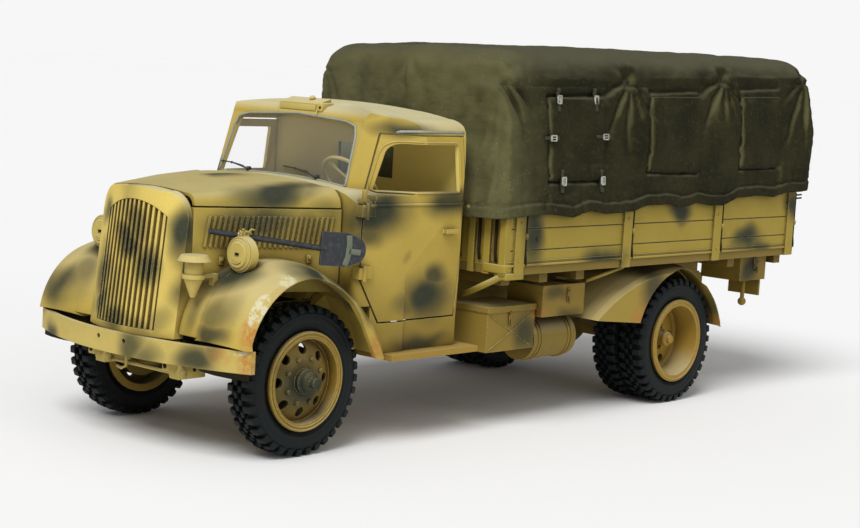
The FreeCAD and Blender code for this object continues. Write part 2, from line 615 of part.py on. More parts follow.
def louvre_row(front, back):
    """Slanted ribs that stand out of the left bonnet side, square to its surface."""
    foot, face = V(back, bonnet_half(back), 0), V(front, bonnet_half(front), 0)
    run = (face - foot).Length
    pitch = (s.louvre_front - s.louvre_back) / s.louvres * run / (front - back)
    ribs = []
    for k in range(s.louvres):
        low = (s.louvre_back - back) * run / (front - back) + pitch * k
        top = low - s.louvre_slant
        ribs.append(slab(((low, s.louvre_bottom), (low + s.louvre_width, s.louvre_bottom),
                          (top + s.louvre_width, s.louvre_top), (top, s.louvre_top)), "XZ",
                         -s.louvre_depth, s.louvre_depth))
    row = Part.makeCompound(ribs)
    row.rotate(V(), V(0, 0, 1), math.degrees(math.atan2(face.y - foot.y, face.x - foot.x)))
    row.translate(foot)
    return row.Solids


def build_bonnet_sides():
    """Side panels with a row of slanted louvres pressed outwards."""
    front, back, wall = s.shell_back - 0.1, s.bonnet_back + 0.1, s.bonnet_wall
    top = s.split_z - s.panel_gap / 2
    plan = ((back, bonnet_half(back)), (front, bonnet_half(front)),
            (front, bonnet_half(front) - wall), (back, bonnet_half(back) - wall))
    panel = slab(plan, "XY", s.side_bottom, top).fuse(louvre_row(front, back))
    for name, side in SIDES:
        keep("bonnet_side_" + name, solid(mirrored(panel, side)))


# ------------------------------------------------------------------ cab
def cab_side_outline(inset):
    """Side view of the cab: upright back, domed roof, raked screen."""
    back, roof = s.cab_back + inset, s.roof_z - inset
    foot = 30.0 if inset else s.sill_bottom
    foot -= 20 if inset else 0
    base_x = s.screen_base_x + screen_rake() * (s.cowl_edge - s.screen_base_z) - inset
    top_x, top_z = s.screen_top_x - inset, s.screen_top_z - inset
    return ((back, foot), (back, roof - 4.6), (back + 0.9, roof - 2.2, "arc"), (back + 3.0, roof - 1.2),
            (back + 11.5, roof, "arc"), (top_x - 2.0, top_z + 1.3), (top_x - 0.6, top_z + 0.7, "arc"),
            (top_x + 0.4, top_z - 1.3), (base_x, s.cowl_edge), (base_x, foot))


def cab_front_outline(inset):
    """Front view of the cab: belt widest, sides drawn in above and below, domed roof."""
    half, eaves, roof = s.cab_half - inset, s.eaves_half - inset, s.roof_z - inset
    foot_half = s.cab_bottom_half - inset
    foot = s.sill_bottom - (20 if inset else 0)
    right = [(foot_half, foot), (foot_half, s.door_bottom), (half, s.belt_z), (eaves, s.eaves_z),
             (eaves - 1.6, s.eaves_z + 2.4, "arc"), (eaves - 4.6, s.eaves_z + 3.4 - inset * 0.3)]
    left = [(-p[0],) + p[1:] for p in reversed(right)]
    return right + [(0, roof, "arc")] + left


def cab_plan_outline(inset):
    """Plan of the cab: round rear corners, sides drawn in towards the front."""
    back, half, front_half = s.cab_back + inset, s.cab_half - inset, s.cab_front_half - inset
    front, turn = s.cab_front - inset, 3.6 - inset * 0.6
    knee = 0.29 * turn
    right = [(back, half - turn), (back + knee, half - knee, "arc"), (back + turn, half),
             (front - 1.6, front_half), (front - 0.45, front_half - 0.45, "arc"),
             (front, front_half - 1.6)]
    left = [(p[0], -p[1]) + p[2:] for p in reversed(right)]
    return right + left


def cowl_outline(inset):
    """Section of the cowl between the screen and the bonnet."""
    half, crown = s.cab_half - inset, s.cowl_crown - inset
    edge = s.cowl_edge - inset
    foot = s.sill_bottom - (20 if inset else 0)
    return ((-half, foot), (-half, edge - 1.5), (-half + 3.5, edge + 0.8, "arc"), (-half * 0.72, crown - 1.2),
            (0, crown, "arc"), (half * 0.72, crown - 1.2), (half - 3.5, edge + 0.8, "arc"),
            (half, edge - 1.5), (half, foot))


def screen_rake():
    """How far the screen leans back for each millimetre of height."""
    return (s.screen_top_x - s.screen_base_x) / (s.screen_top_z - s.screen_base_z)


def cab_corner(side, inset):
    """What a front corner lacks above the shelf: its face turns in and leans like the screen."""
    start, end = V(s.taper_back, s.cab_half, 0), V(s.screen_base_x, s.taper_half, 0)
    along = (end - start).normalize()
    inward = V(along.y, -along.x, 0)
    drop = V(-screen_rake() * inset, 0, s.shelf_z - inset)
    near, far = start + inward * inset - along * 16, end + inward * inset + along * 9
    corners = [(near.x + drop.x, near.y), (far.x + drop.x, far.y), (far.x + 20, 60), (near.x - 1, 60)]
    face = Part.Face(path([(a, side * b) for a, b in corners], "XY", drop.z))
    return face.extrude(V(screen_rake() * 30, 0, 30))


def cab_volume(inset):
    wide, far = s.cab_half + 10, s.cab_front + 10
    house = slab(cab_side_outline(inset), "XZ", -wide, wide)
    house = house.common(slab(cab_front_outline(inset), "YZ", s.cab_back - 10, far))
    house = house.cut([cab_corner(side, inset) for _, side in SIDES])
    cowl = slab(cowl_outline(inset), "YZ", s.screen_top_x - 4, far)
    both = house.fuse(cowl)
    return both.common(slab(cab_plan_outline(inset), "XY", -10, 80)).removeSplitter()


def door_outline(gap):
    """Side view of the door below the shelf; its front foot is cut away over the fender."""
    return ((s.door_back + gap, s.door_bottom + gap), (s.door_front - 5.2 - gap, s.door_bottom + gap),
            (s.door_front - gap, s.door_bottom + 8.5 + gap), (s.door_front - gap, s.shelf_z + 1),
            (s.door_back + gap, s.shelf_z + 1))


def door_frame_outline(gap):
    """Side view of the door's window frame, from the shelf up."""
    front = s.frame_front - gap
    return ((s.door_back + gap, s.shelf_z - 1.4), (front, s.shelf_z - 1.4), (front, s.shelf_z),
            (front + screen_rake() * (s.door_top - s.shelf_z), s.door_top - gap),
            (s.door_back + gap, s.door_top - gap))


def door_room(side, gap):
    """The space of a door: its lower part and its window frame, which reaches further in."""
    lower = slab(door_outline(gap), "XZ", *sorted((side * 25.0, side * 40)))
    upper = slab(door_frame_outline(gap), "XZ", *sorted((side * (s.taper_half - 1.5), side * 40)))
    return lower.fuse(upper)


def window_outline():
    top_front = s.window_front + screen_rake() * (s.window_top - s.window_bottom) - 0.4
    return ((s.window_back, s.window_bottom), (s.window_front, s.window_bottom),
            (top_front + 0.7, s.window_top - 2.2), (top_front - 0.4, s.window_top - 0.6, "arc"),
            (top_front - 2.2, s.window_top), (s.window_back, s.window_top))


def screen_outline(inset):
    """Front view of the windscreen opening."""
    half, low, high = s.screen_half - inset, s.screen_base_z + 0.5 + inset, s.screen_top_z - 1.6 - inset
    return ((-half, low), (0, low + 1.1, "arc"), (half, low), (half - 0.9, high - 2.6),
            (half - 1.6, high - 0.7, "arc"), (half - 4.2, high), (0, high + 0.9, "arc"),
            (-half + 4.2, high), (-half + 1.6, high - 0.7, "arc"), (-half + 0.9, high - 2.6))


def build_cab():
    outer, inner = cab_volume(0), cab_volume(s.cab_wall)
    shell = outer.cut(inner)
    doorway = [door_room(side, 0) for _, side in SIDES]
    screen = slab(screen_outline(0), "YZ", s.screen_top_x - 6, s.cab_front - 1)
    rear = slab(((-8, 50), (8, 50), (8, 56.5), (-8, 56.5)), "YZ", s.cab_back - 1.5, s.cab_back + 4.5)
    floor = cuboid((s.cab_back + 0.4, s.cab_front - 1.2), (-s.floor_half, s.floor_half),
                   (s.cab_floor, s.cab_floor + 0.9))
    wheel_room = Part.makeCompound([
        cuboid((s.cab_front - 4.2, s.cab_front + 8), sorted((side * 12.6, side * 40)), (10, 27.5)) for _, side in SIDES])
    nose = cuboid((s.cab_front - 4.2, s.cab_front + 2), (-12.6, 12.6), (10, 27))
    body = shell.cut(doorway + [screen, rear, wheel_room, nose]).fuse(floor)
    pads = []
    for level in HINGE_LEVELS:
        pad = cuboid((s.door_front + 0.35, s.door_front + 1.3), (door_skin(s.door_front) - 0.7, hinge_at(1)[1] + 0.3),
                     (level - 1.1, level + 1.1))
        pads += [mirrored(pad, side) for _, side in SIDES]
    body = body.fuse(pads)
    wells = [mirrored(fender_room(FRONT_FENDER, FENDER_SECTION, s.wheelbase, s.fender_in - 0.4,
                                  s.fender_out + 0.4), side) for _, side in SIDES]
    body = body.cut(wells + [cuboid((s.cab_back - 1.5, s.cab_front + 2), (-14, 14), (10, s.cab_floor))])
    keep("cab_shell", solid(max(body.removeSplitter().Solids, key=lambda p: p.Volume)))

    middle = s.cab_wall / 2
    film = cab_volume(middle - s.glass_wall / 2).cut(cab_volume(middle + s.glass_wall / 2))
    glass = slab(screen_outline(0.03), "YZ", s.screen_top_x - 6, s.cab_front - 1).common(film)
    keep("windscreen", solid(max(glass.Solids, key=lambda g: g.Volume)))

    for name, side in SIDES:
        door = shell.common(door_room(side, s.panel_gap))
        door = door.cut(slab(window_outline(), "XZ", -40, 40))
        handle = cuboid((s.door_back + 2.6, s.door_back + 6.2), sorted((side * 28.2, side * 29.5)), (41, 41.8))
        hooks = []
        for level in HINGE_LEVELS:
            barrel = Part.makeCylinder(s.hinge_radius, 3.0, V(*hinge_at(side), level - 1.5))
            leaf = cuboid((s.door_front - 2.6, s.door_front - 0.4),
                          sorted((side * (door_skin(s.door_front) + 0.2), side * (abs(hinge_at(1)[1])))),
                          (level - 1.1, level + 1.1))
            hooks += [barrel, leaf]
        door = door.fuse([handle] + hooks).removeSplitter()
        keep("door_" + name, solid(max(door.Solids, key=lambda d: d.Volume)))


HINGE_LEVELS = (34.0, 45.8)


def door_skin(x):
    """Half-width of the cab's side at x."""
    share = (x - s.cab_back - 3.6) / (s.cab_front - 1.6 - s.cab_back - 3.6)
    return s.cab_half + (s.cab_front_half - s.cab_half) * share


def hinge_at(side):
    return s.door_front - 0.2, side * (door_skin(s.door_front) + s.hinge_out)


def build_cab_inside():
    floor, half = s.cab_floor + s.cab_wall, s.seat_half
    cushion = cuboid((s.cab_back + 2.2, s.cab_back + 13), (-half, half), (floor, s.seat_height))
    back = cuboid((s.cab_back + 1.2, s.cab_back + 4.2), (-half, half), (floor, s.seat_back_height))
    keep("seat", solid(cushion.fuse(back).removeSplitter()))
    face = s.screen_base_x - 3.4
    panel = cuboid((face, face + 3.8), (-half, half), (43.2, 46.4))
    stay = cuboid((face + 2.8, s.cab_front - s.cab_wall - 0.25), (-half, half), (43.2, 46.0))
    keep("dashboard", solid(panel.fuse(stay).removeSplitter()))
    centre, foot = V(face - 5.0, 11.5, 49.8), V(face + 2.3, 11.5, 30.0)
    run, lean = foot - centre, V(0.75, 0, -0.66)
    ring = Part.makeTorus(s.steer_wheel_radius, 0.4, centre, lean)
    column = Part.makeCylinder(0.6, run.Length, centre, run)
    boss = Part.makeCylinder(1.1, 0.9, centre, lean)
    spokes = []
    for k in range(3):
        arm = Part.makeCylinder(0.3, s.steer_wheel_radius, V(), V(1, 0, 0))
        arm.rotate(V(), V(0, 0, 1), 90 + 120 * k)
        arm.Placement = FreeCAD.Placement(centre, FreeCAD.Rotation(V(0, 0, 1), lean)) * arm.Placement
        spokes.append(arm)
    foot_block = Part.makeCylinder(1.2, 3.4, V(face + 2.4, 11.5, floor))
    wheel = ring.fuse([column, boss, foot_block] + spokes).removeSplitter()
    keep("steering_wheel", solid(wheel))


# ------------------------------------------------------------------ fenders, steps and lamps
# x from the axle, z for the inner edge, z for the outer edge, in order over the wheel
FRONT_FENDER = ((20.2, 22.4, 22.4), (15.0, 33.2, 31.6), (4.0, 37.6, 35.4),
                (-8.0, 35.2, 30.8), (-18.5, 18.2, 18.2))
REAR_FENDER = ((34.7, 21.6, 21.6), (22.0, 30.4, 28.6), (7.0, 32.6, 31.8),
               (-9.0, 28.8, 28.0), (-17.0, 16.8, 16.8))


# share of the width from the inner edge, drop towards the wheel's centre
FENDER_SECTION = ((0.0, 5.0), (0.08, 2.6), (0.24, 0.7), (0.5, 0.0), (0.76, 0.3), (0.93, 1.1),
                  (1.0, 2.4))


def fender_wire(table, axle_x, y, share, drop, foot=0.0):
    """Side view of a fender at y, a share of the way from its inner to its outer edge."""
    centre = V(axle_x, 0, s.tyre_radius)
    points = []
    for x, z_in, z_out in table:
        p = V(axle_x + x, 0, z_in + (z_out - z_in) * share)
        points.append(p + (centre - p).normalize() * drop)
    a, b, c, d, e = [(p.x, p.z) for p in points]
    outline = [a, b + ("arc",), c, d + ("arc",), e]
    if foot:
        outline = [(a[0], a[1] - foot)] + outline + [(e[0], e[1] - foot)]
    return path(outline, "XZ", y)


REAR_SECTION = ((0.0, 1.6), (0.1, 0.6), (0.3, 0.1), (0.5, 0.0), (0.76, 0.2), (0.93, 0.7),
                (1.0, 1.6))


def fender(table, section, axle_x, inner_y, outer_y, opening):
    """A pressed fender: outer form, less the hollow and the wheel's opening."""
    wall = s.fender_wall
    outer = [fender_wire(table, axle_x, inner_y + share * (outer_y - inner_y), share, drop)
             for share, drop in section]
    low, width = inner_y + wall, outer_y - inner_y - 2 * wall
    inner = [fender_wire(table, axle_x, low + share * width, share, drop + wall, 12.0)
             for share, drop in section]
    arch = slab(opening, "XZ", outer_y - 6, outer_y + 2)
    shape = Part.makeLoft(outer, True, True)
    return shape.cut([Part.makeLoft(inner, True, True), arch])


def fender_room(table, section, axle_x, inner_y, outer_y):
    """Everything under a fender's top, which the cab leaves free."""
    return Part.makeLoft([fender_wire(table, axle_x, inner_y + share * (outer_y - inner_y), share,
                                      drop - 0.02, 12.0) for share, drop in section], True, True)


def build_fenders():
    x = s.wheelbase
    opening = ((x + 17.9, 5), (x + 17.9, 23.0), (x + 7.0, 33.6, "arc"), (x - 8.0, 28.6), (x - 15.6, 15),
               (x - 15.6, 5))
    for name, side in SIDES:
        shape = fender(FRONT_FENDER, FENDER_SECTION, x, s.fender_in, s.fender_out, opening)
        shape = shape.cut([cuboid((x - 40, x + 40), (s.fender_in - 1, s.fender_in + 3), (0, 22.6)),
                           cuboid((x + 8, x + 40), (0, 40), (0, s.bumper_top + 0.1))])
        engine_bay = slab(((s.bonnet_back - 1.2, 0), (s.bonnet_back - 1.2, bonnet_half(s.bonnet_back - 1.2)),
                           (s.shell_back + 0.5, bonnet_half(s.shell_back + 0.5)), (s.shell_back + 0.5, 0)),
                          "XY", 22.0, 60)
        shape = shape.cut(engine_bay)
        keep("front_fender_" + name, solid(mirrored(max(shape.Solids, key=lambda f: f.Volume), side)))

    opening = ((17.2, 5), (17.2, 20.0), (7.0, 30.0, "arc"), (-9.6, 27.0), (-15.4, 17), (-15.4, 5))
    for name, side in SIDES:
        shape = fender(REAR_FENDER, REAR_SECTION, 0, s.rear_fender_in, s.rear_fender_out, opening)
        shape = shape.cut(cuboid((-40, 60), (s.rear_fender_in - 1, s.rear_fender_in + 2), (0, 29.5)))
        keep("rear_fender_" + name, solid(mirrored(max(shape.Solids, key=lambda f: f.Volume), side)))


def build_steps():
    for name, side in SIDES:
        tread = block(("step_back", "wheelbase - 18.9"), span(side, "step_in - 6", "step_out"),
                      ("step_bottom", "step_bottom + step_thickness"))
        stay = block(("cab_back + 4", "cab_back + 8"), span(side, "rail_y + rail_width / 2", "step_in"),
                     ("step_bottom", "step_bottom + step_thickness"))
        knee = block(("cab_back + 4", "cab_back + 8"),
                     span(side, "rail_y + rail_width / 2", "rail_y + rail_width / 2 + 1.2"),
                     ("step_bottom", "rail_bottom + 3"))
        keep("running_board_" + name, joined(tread, stay, knee))


def build_lamps():
    lamps = []
    for name, side in SIDES:
        centre = V(s.lamp_x, side * s.lamp_y, s.lamp_z)
        drum = Part.makeCylinder(s.lamp_radius, s.lamp_depth * 0.5, centre - V(s.lamp_depth * 0.5, 0, 0), V(1, 0, 0))
        bowl = Part.makeCone(1.2, s.lamp_radius, s.lamp_depth * 0.6, centre - V(s.lamp_depth * 1.1, 0, 0),
                             V(1, 0, 0))
        cap = Part.makeCone(s.lamp_radius - 0.15, s.lamp_radius - 1.1, 0.7, centre, V(1, 0, 0))
        slot = cuboid((s.lamp_x + 0.3, s.lamp_x + 2), (side * s.lamp_y - 0.6, side * s.lamp_y + 0.6),
                      (s.lamp_z - 0.35, s.lamp_z + 0.35))
        stalk = Part.makeCylinder(0.8, s.lamp_z - 31.0, V(s.lamp_x - 1.2, side * s.lamp_y, 31.0))
        lamp = drum.fuse([bowl, cap, stalk]).cut([slot, shape_of("front_fender_" + name)])
        lamps.append(max(lamp.removeSplitter().Solids, key=lambda p: p.Volume))
    keep("headlights", solid(Part.makeCompound(lamps)))

    at = V(s.convoy_x, s.convoy_y, s.convoy_z)
    body = Part.makeCylinder(1.7, 3.6, at)
    base = Part.makeCylinder(2.1, 0.8, at)
    cone = Part.makeCone(0.5, 1.8, 3.4, at - V(0, 0, 3.4))
    hood = Part.makeCone(3.1, 2.4, 1.1, at + V(0, 0, 3.2))
    arm = cuboid((at.x - 5.4, at.x), (at.y - 0.6, at.y + 0.6), (at.z, at.z + 0.7))
    foot = cuboid((at.x - 5.4, at.x - 4.2), (at.y - 0.6, at.y + 0.6), (at.z - 3.0, at.z + 0.7))
    lamp = body.fuse([base, cone, hood, arm, foot]).cut(shape_of("front_fender_left"))
    keep("convoy_lamp", solid(max(lamp.removeSplitter().Solids, key=lambda p: p.Volume)))


def build_shovel():
    """A shovel beside the bonnet: its shaft lies over the left lamp, its blade stands on edge."""
    x = s.wheelbase
    tip, socket, end = V(x + 15.3, 14.9, 41.6), V(x - 3.3, 25.1, 38.9), V(x - 11.1, 29.2, 38.5)
    run, reach = socket - tip, end - socket
    shaft = Part.makeCylinder(s.handle_radius, run.Length + 1, tip, run)
    blade = slab(((-3.2, 0), (-3.2, 5.2), (-2.2, reach.Length - 1.0), (0, reach.Length, "arc"),
                  (2.2, reach.Length - 1.0), (3.2, 5.2), (3.2, 0)), "XY", -0.3, 0.3)
    along = reach.normalize()
    up = V(0, 0, 1) - along * along.z
    up.normalize()
    across = up.cross(along)
    turn = FreeCAD.Rotation(up, along, across)
    blade.Placement = FreeCAD.Placement(socket, turn)
    keep("shovel", solid(shaft.fuse(blade).removeSplitter()))


def build_roof_sign():
    half = s.sign_width / 2
    top = s.screen_top_x
    outline = ((top - 3.6, 63.8), (top + 0.4, 62.6), (top, 64.8), (top - 3.4, 65.8))
    shape = slab(outline, "XZ", -half, half)
    shape = shape.cut(cab_volume(0))
    keep("roof_sign", solid(max(shape.Solids, key=lambda p: p.Volume)))


# ------------------------------------------------------------------ bed
def build_bed_floor():
    floor = block(("bed_back", "bed_front"), ("-bed_half", "bed_half"),
                  ("floor_bottom", "floor_bottom + floor_thickness"))
    pieces = [floor]
    for _, side in SIDES:
        pieces.append(block(("rail_back + 1", "bed_front - 1"),
                            span(side, "rail_y - rail_width / 2", "rail_y + rail_width / 2"),
                            ("rail_bottom + rail_height", "floor_bottom - cross_depth")))
    for x in ("bed_back + 0.4", "rear_sill", "upper_box_back + 1.6", "bed_front - 17.3", "bed_front - 4.9"):
        pieces.append(block((x, x + " + sill_width"), ("-bed_half + 3", "bed_half - 3"),
                            ("floor_bottom - cross_depth", "floor_bottom")))
    keep("bed_floor", joined(*pieces))


# where each post starts, and its top
POSTS = (("bed_front - 4.9", "hem_z + 1.2"), ("middle_post", "hem_z + 1.2"), ("third_post", "board_top"),
         ("bed_back + 1.1", "board_top"))
PLANK_LINES = (37.6, 42.0)


def build_boards():
    base = "floor_bottom + floor_thickness"
    tall = (base, "board_top")
    for name, side in SIDES:
        wall = block(("bed_back + board_thickness", "bed_front - board_thickness"),
                     span(side, "bed_half - board_thickness", "bed_half"), tall)
        grooves = [block(("bed_back", "bed_front"), span(side, "bed_half - plank_groove", "bed_half + 1"),
                         (zed, "%s + plank_groove" % zed)) for zed in PLANK_LINES]
        posts = [block((x, x + " + post_width"), span(side, "bed_half - board_thickness", "bed_half + post_out"),
                       ("floor_bottom", top)) for x, top in POSTS]
        posts = [carved(post, block((x + " - 1", x + " + post_width + 1"),
                                    span(side, "bed_half - board_thickness - 1", "bed_half"),
                                    ("floor_bottom - 1", base))) for post, (x, top) in zip(posts, POSTS)]
        keep("bed_side_" + name, joined(carved(wall, *grooves), *posts))
    board = block(("bed_front - board_thickness", "bed_front"), ("-bed_half", "bed_half"), tall)
    ribs = [block(("bed_front", "bed_front + 0.7"),
                  span(side, "bed_half - 1.6 - %s" % inward, "bed_half - %s" % inward),
                  ("floor_bottom", "hem_z + 1.2"))
            for _, side in SIDES for inward in ("0", "4.1", "8.2", "16.4", "24.6")]
    keep("front_board", joined(board, *ribs))
    gate = block(("bed_back", "bed_back + board_thickness"), ("-bed_half", "bed_half"), tall)
    hooks = [block(("bed_back - 1.6", "bed_back"), span(side, "bed_half - 5", "bed_half - 3.4"),
                   ("hem_z - 3.8", "hem_z - 2.3")) for _, side in SIDES]
    keep("tailgate", joined(gate, *hooks))


# ------------------------------------------------------------------ canvas
# height, then how far the walls stand outside the bed: at the side, in front, behind, and
# at the side by the rear end
CANVAS_WALLS = ((43.8, 1.6, 3.5, 1.5, 1.6), (52.0, 0.9, 1.9, 4.5, 1.7), (60.0, -0.2, 0.5, 5.5, 1.7),
                (72.0, -2.4, -0.4, 3.6, -0.6), (80.0, -3.9, -1.3, 1.3, -3.0))
# the hem: how far behind the bed's front end, and its height
CANVAS_HEM = ((-13.0, 43.9), (18.7, 44.5), (35.6, 44.3), (60.8, 46.3), (76.3, 45.7), (97.9, 47.6),
              (117.0, 49.4))


def rounded_plan(half, rear_half, front, back, turn, level):
    """A rounded rectangle on the XY plane, with its own half-width at the rear end."""
    knee = 0.293 * turn
    right = [(back, rear_half - turn), (back + knee, rear_half - knee, "arc"), (back + turn, rear_half),
             (front - turn, half), (front - knee, half - knee, "arc"), (front, half - turn)]
    return path(right + [(p[0], -p[1]) + p[2:] for p in reversed(right)], "XY", level)


def canvas_crown(inset):
    """Front view of the roof: round eaves and a flat arch."""
    half, eaves, top = 60, s.canvas_eaves_half - inset, s.canvas_top - inset
    right = [(half, 20), (half, 70.5 - inset), (eaves + 0.6, 70.5 - inset), (eaves - 1.4, 75.2 - inset, "arc"),
             (eaves - 5.5, 76.9 - inset)]
    return right + [(0, top, "arc")] + [(-p[0],) + p[1:] for p in reversed(right)]


def canvas_ends(inset):
    """Side view of the roof's rounded ends."""
    top = s.canvas_top + 2 - inset
    back, front = s.bed_back + inset, s.bed_front - inset
    return ((back - 29, 20), (back - 29, 69), (back - 5.1, 71.4), (back - 2.1, 76.0, "arc"), (back + 2, top),
            (front - 5.4, top), (front - 1.9, 76.6, "arc"), (front + 0.7, 71.4), (front + 24, 69), (front + 24, 20))


def canvas_fold(inset):
    """What the front wall's right half lacks: above the hem it falls back from a crease."""
    front = s.bed_front
    deep, far = front - inset, front + 25
    plan = ((deep - 0.5, 5), (deep - 9.5, -28), (deep - 13.9, -37.6), (deep - 13.9, -60), (far, -60), (far, 5))
    rise = ((far, 44 - inset), (front + 4, 47 - inset), (front - 3, 54 - inset), (front - 14, 64 - inset),
            (front - 27, 70 - inset), (front - 27, 99), (far, 99))
    return slab(plan, "XY", 20, 99).common(slab(rise, "XZ", -70, 70))


def canvas_volume(inset):
    walls = [rounded_plan(s.bed_half + side - inset, s.bed_half + rear - inset,
                          s.bed_front + front - inset, s.bed_back - back + inset, 4.0 - inset, zed)
             for zed, side, front, back, rear in CANVAS_WALLS]
    shape = Part.makeLoft(walls, True, True)
    shape = shape.common(slab(canvas_crown(inset), "YZ", s.bed_back - 20, s.bed_front + 25))
    shape = shape.common(slab(canvas_ends(inset), "XZ", -60, 60))
    return shape.cut(canvas_fold(inset))


def build_canvas():
    shell = canvas_volume(0).cut(canvas_volume(s.canvas_wall))
    line = [(s.bed_front - behind, zed) for behind, zed in CANVAS_HEM]
    below = slab(line + [(line[-1][0], 30.0), (line[0][0], 30.0)], "XZ", -50, 50)
    shell = shell.cut(below)
    keep("canvas", solid(max(shell.removeSplitter().Solids, key=lambda p: p.Volume)))


# ------------------------------------------------------------------ boxes and tank
def crossed_ribs():
    """Two diagonal pressings on the left toolbox's outer face."""
    x0, x1, z0, z1 = s.toolbox_back + 0.8, s.toolbox_front - 0.8, s.toolbox_bottom + 0.6, s.toolbox_top - 1.9
    across = s.rib_width
    ribs = [slab(((x0, low), (x0 + across, low), (x1, high), (x1 - across, high)), "XZ",
                 s.toolbox_out - 0.1, s.toolbox_out + 0.15) for low, high in ((z0, z1), (z1, z0))]
    return ribs[0].fuse(ribs[1]).removeSplitter()


def build_boxes():
    for name, side in SIDES:
        body = block(("toolbox_back", "toolbox_front"), span(side, "toolbox_in", "toolbox_out"),
                     ("toolbox_bottom", "toolbox_top"))
        lid = block(("toolbox_back - 0.2", "toolbox_front + 0.2"), span(side, "toolbox_in", "toolbox_out + 0.3"),
                    ("toolbox_top - 1.2", "toolbox_top"))
        face = solid(mirrored(crossed_ribs(), side))
        stay = block(("toolbox_back + 5", "toolbox_back + 9"),
                     span(side, "rail_y + rail_width / 2", "toolbox_in"), ("rail_bottom + 1", "toolbox_top - 1"))
        keep("toolbox_" + name, joined(body, lid, face, stay))
        body = block(("locker_back", "locker_front"), span(side, "locker_in", "locker_out"),
                     ("locker_bottom", "floor_bottom"))
        hasp = block(("locker_front - 6.4", "locker_front - 5.2"), span(side, "locker_out - 0.1", "locker_out + 0.5"),
                     ("locker_bottom + 2.8", "locker_bottom + 5.4"))
        pieces = [body, hasp]
        if side > 0:
            pieces.append(block(("locker_back - 0.4", "locker_back + 0.2"), ("locker_in + 1", "locker_out - 1.4"),
                                ("locker_bottom - 4.2", "locker_bottom + 2.4")))
            pieces.append(rod("Z", "plate_rod_radius", ("locker_back + 6", "locker_out - 2.2", "locker_bottom - 5.2"),
                              "5.4"))
            ball = doc.addObject("Part::Sphere", "Ball")
            bind(ball, Radius="2 * plate_rod_radius", Placement__Base__x="locker_back + 6",
                 Placement__Base__y="locker_out - 2.2", Placement__Base__z="locker_bottom - 5.4")
            pieces.append(ball)
        keep("rear_locker_" + name, joined(*pieces))
    body = block(("upper_box_back", "upper_box_front"), ("upper_box_in", "upper_box_out"),
                 ("upper_box_bottom + 1.4", "upper_box_top"))
    hang = block(("upper_box_back + 1.6", "upper_box_back + 1.6 + sill_width"), ("upper_box_in", "upper_box_in + 3"),
                 ("upper_box_top", "floor_bottom - cross_depth"))
    keep("upper_box", joined(body, hang))
    tank = rod("X", "tank_radius", ("tank_back", "tank_y", "tank_z"), "tank_front - tank_back")
    strap = block(("tank_back + 5", "tank_back + 7"), ("rail_y + rail_width / 2", "tank_y"),
                  ("tank_z + 3.6", "tank_z + 4.6"))
    keep("air_tank", joined(tank, strap))


def build_rear_end():
    """The rear cross bar with a towing jaw, which has an upright hole for a drawbar's pin."""
    bar = block(("rail_back - 1.5", "rail_back"), ("-rail_y - rail_width / 2", "rail_y + rail_width / 2"),
                ("rail_bottom + 0.5", "rail_bottom + rail_height - 0.5"))
    jaw = block(("rail_back - 1.5 - jaw_length", "rail_back - 1.5"), ("-jaw_width / 2", "jaw_width / 2"),
                ("jaw_bottom", "jaw_bottom + jaw_height"))
    hole = rod("Z", "jaw_hole_radius", ("rail_back - 1.5 - jaw_length + jaw_width / 2", "0", "jaw_bottom - 1"),
               "jaw_height + 2")
    keep("tow_bar", carved(joined(bar, jaw), hole))


def export_parts():
    doc.recompute()
    for obj in doc.Objects:
        bad = [state for state in obj.State if state in ("Invalid", "Error")]
        assert not bad, "%s is %s" % (obj.Label, obj.State)
    for obj in parts:
        assert not obj.Shape.isNull() and obj.Shape.isValid(), obj.Label + " has no valid shape"
    os.makedirs("parts", exist_ok=True)
    for obj in parts:
        obj.Shape.exportStep("parts/%s.step" % obj.Label)


build_wheels()
build_front_axle()
build_knuckles()
build_tie_rod()
build_rear_axle()
build_springs()
build_chassis()
build_driveline()
build_engine()
build_bumper()
build_shell()
build_grille()
build_radiator()
build_bonnet()
build_bonnet_sides()
build_cab()
build_cab_inside()
build_fenders()
build_steps()
build_lamps()
build_shovel()
build_roof_sign()
build_bed_floor()
build_boards()
build_canvas()
build_boxes()
build_rear_end()
export_parts()
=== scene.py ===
"""Looks of the 1:32 cargo truck model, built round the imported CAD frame.

Lengths in the tables are millimetres from the rear axle: +X forward, +Y to the left, +Z up.
"""
import bpy
import bmesh
import math
import numpy as np
import random
from mathutils import Matrix, Vector, noise
from mathutils.bvhtree import BVHTree


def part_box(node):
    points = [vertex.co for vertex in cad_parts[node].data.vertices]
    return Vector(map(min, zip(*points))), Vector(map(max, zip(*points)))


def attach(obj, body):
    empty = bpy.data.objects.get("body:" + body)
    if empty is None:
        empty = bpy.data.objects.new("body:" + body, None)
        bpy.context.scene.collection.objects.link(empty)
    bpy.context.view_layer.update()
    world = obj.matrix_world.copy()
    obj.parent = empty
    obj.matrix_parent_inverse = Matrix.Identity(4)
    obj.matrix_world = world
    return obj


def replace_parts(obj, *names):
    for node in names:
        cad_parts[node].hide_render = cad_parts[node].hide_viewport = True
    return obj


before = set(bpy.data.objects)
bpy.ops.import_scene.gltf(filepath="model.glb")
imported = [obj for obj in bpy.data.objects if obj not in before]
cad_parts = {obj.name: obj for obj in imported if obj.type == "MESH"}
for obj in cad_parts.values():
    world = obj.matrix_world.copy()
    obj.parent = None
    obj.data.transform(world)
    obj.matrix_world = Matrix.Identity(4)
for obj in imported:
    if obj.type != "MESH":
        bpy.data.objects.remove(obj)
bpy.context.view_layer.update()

MM = 0.001
low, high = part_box("tyres_rear_left")
AXLE_X = (low.x + high.x) / 2
TYRE_R = (high.z - low.z) / 2 / MM
low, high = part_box("tyre_front_left")
WHEELBASE = ((low.x + high.x) / 2 - AXLE_X) / MM
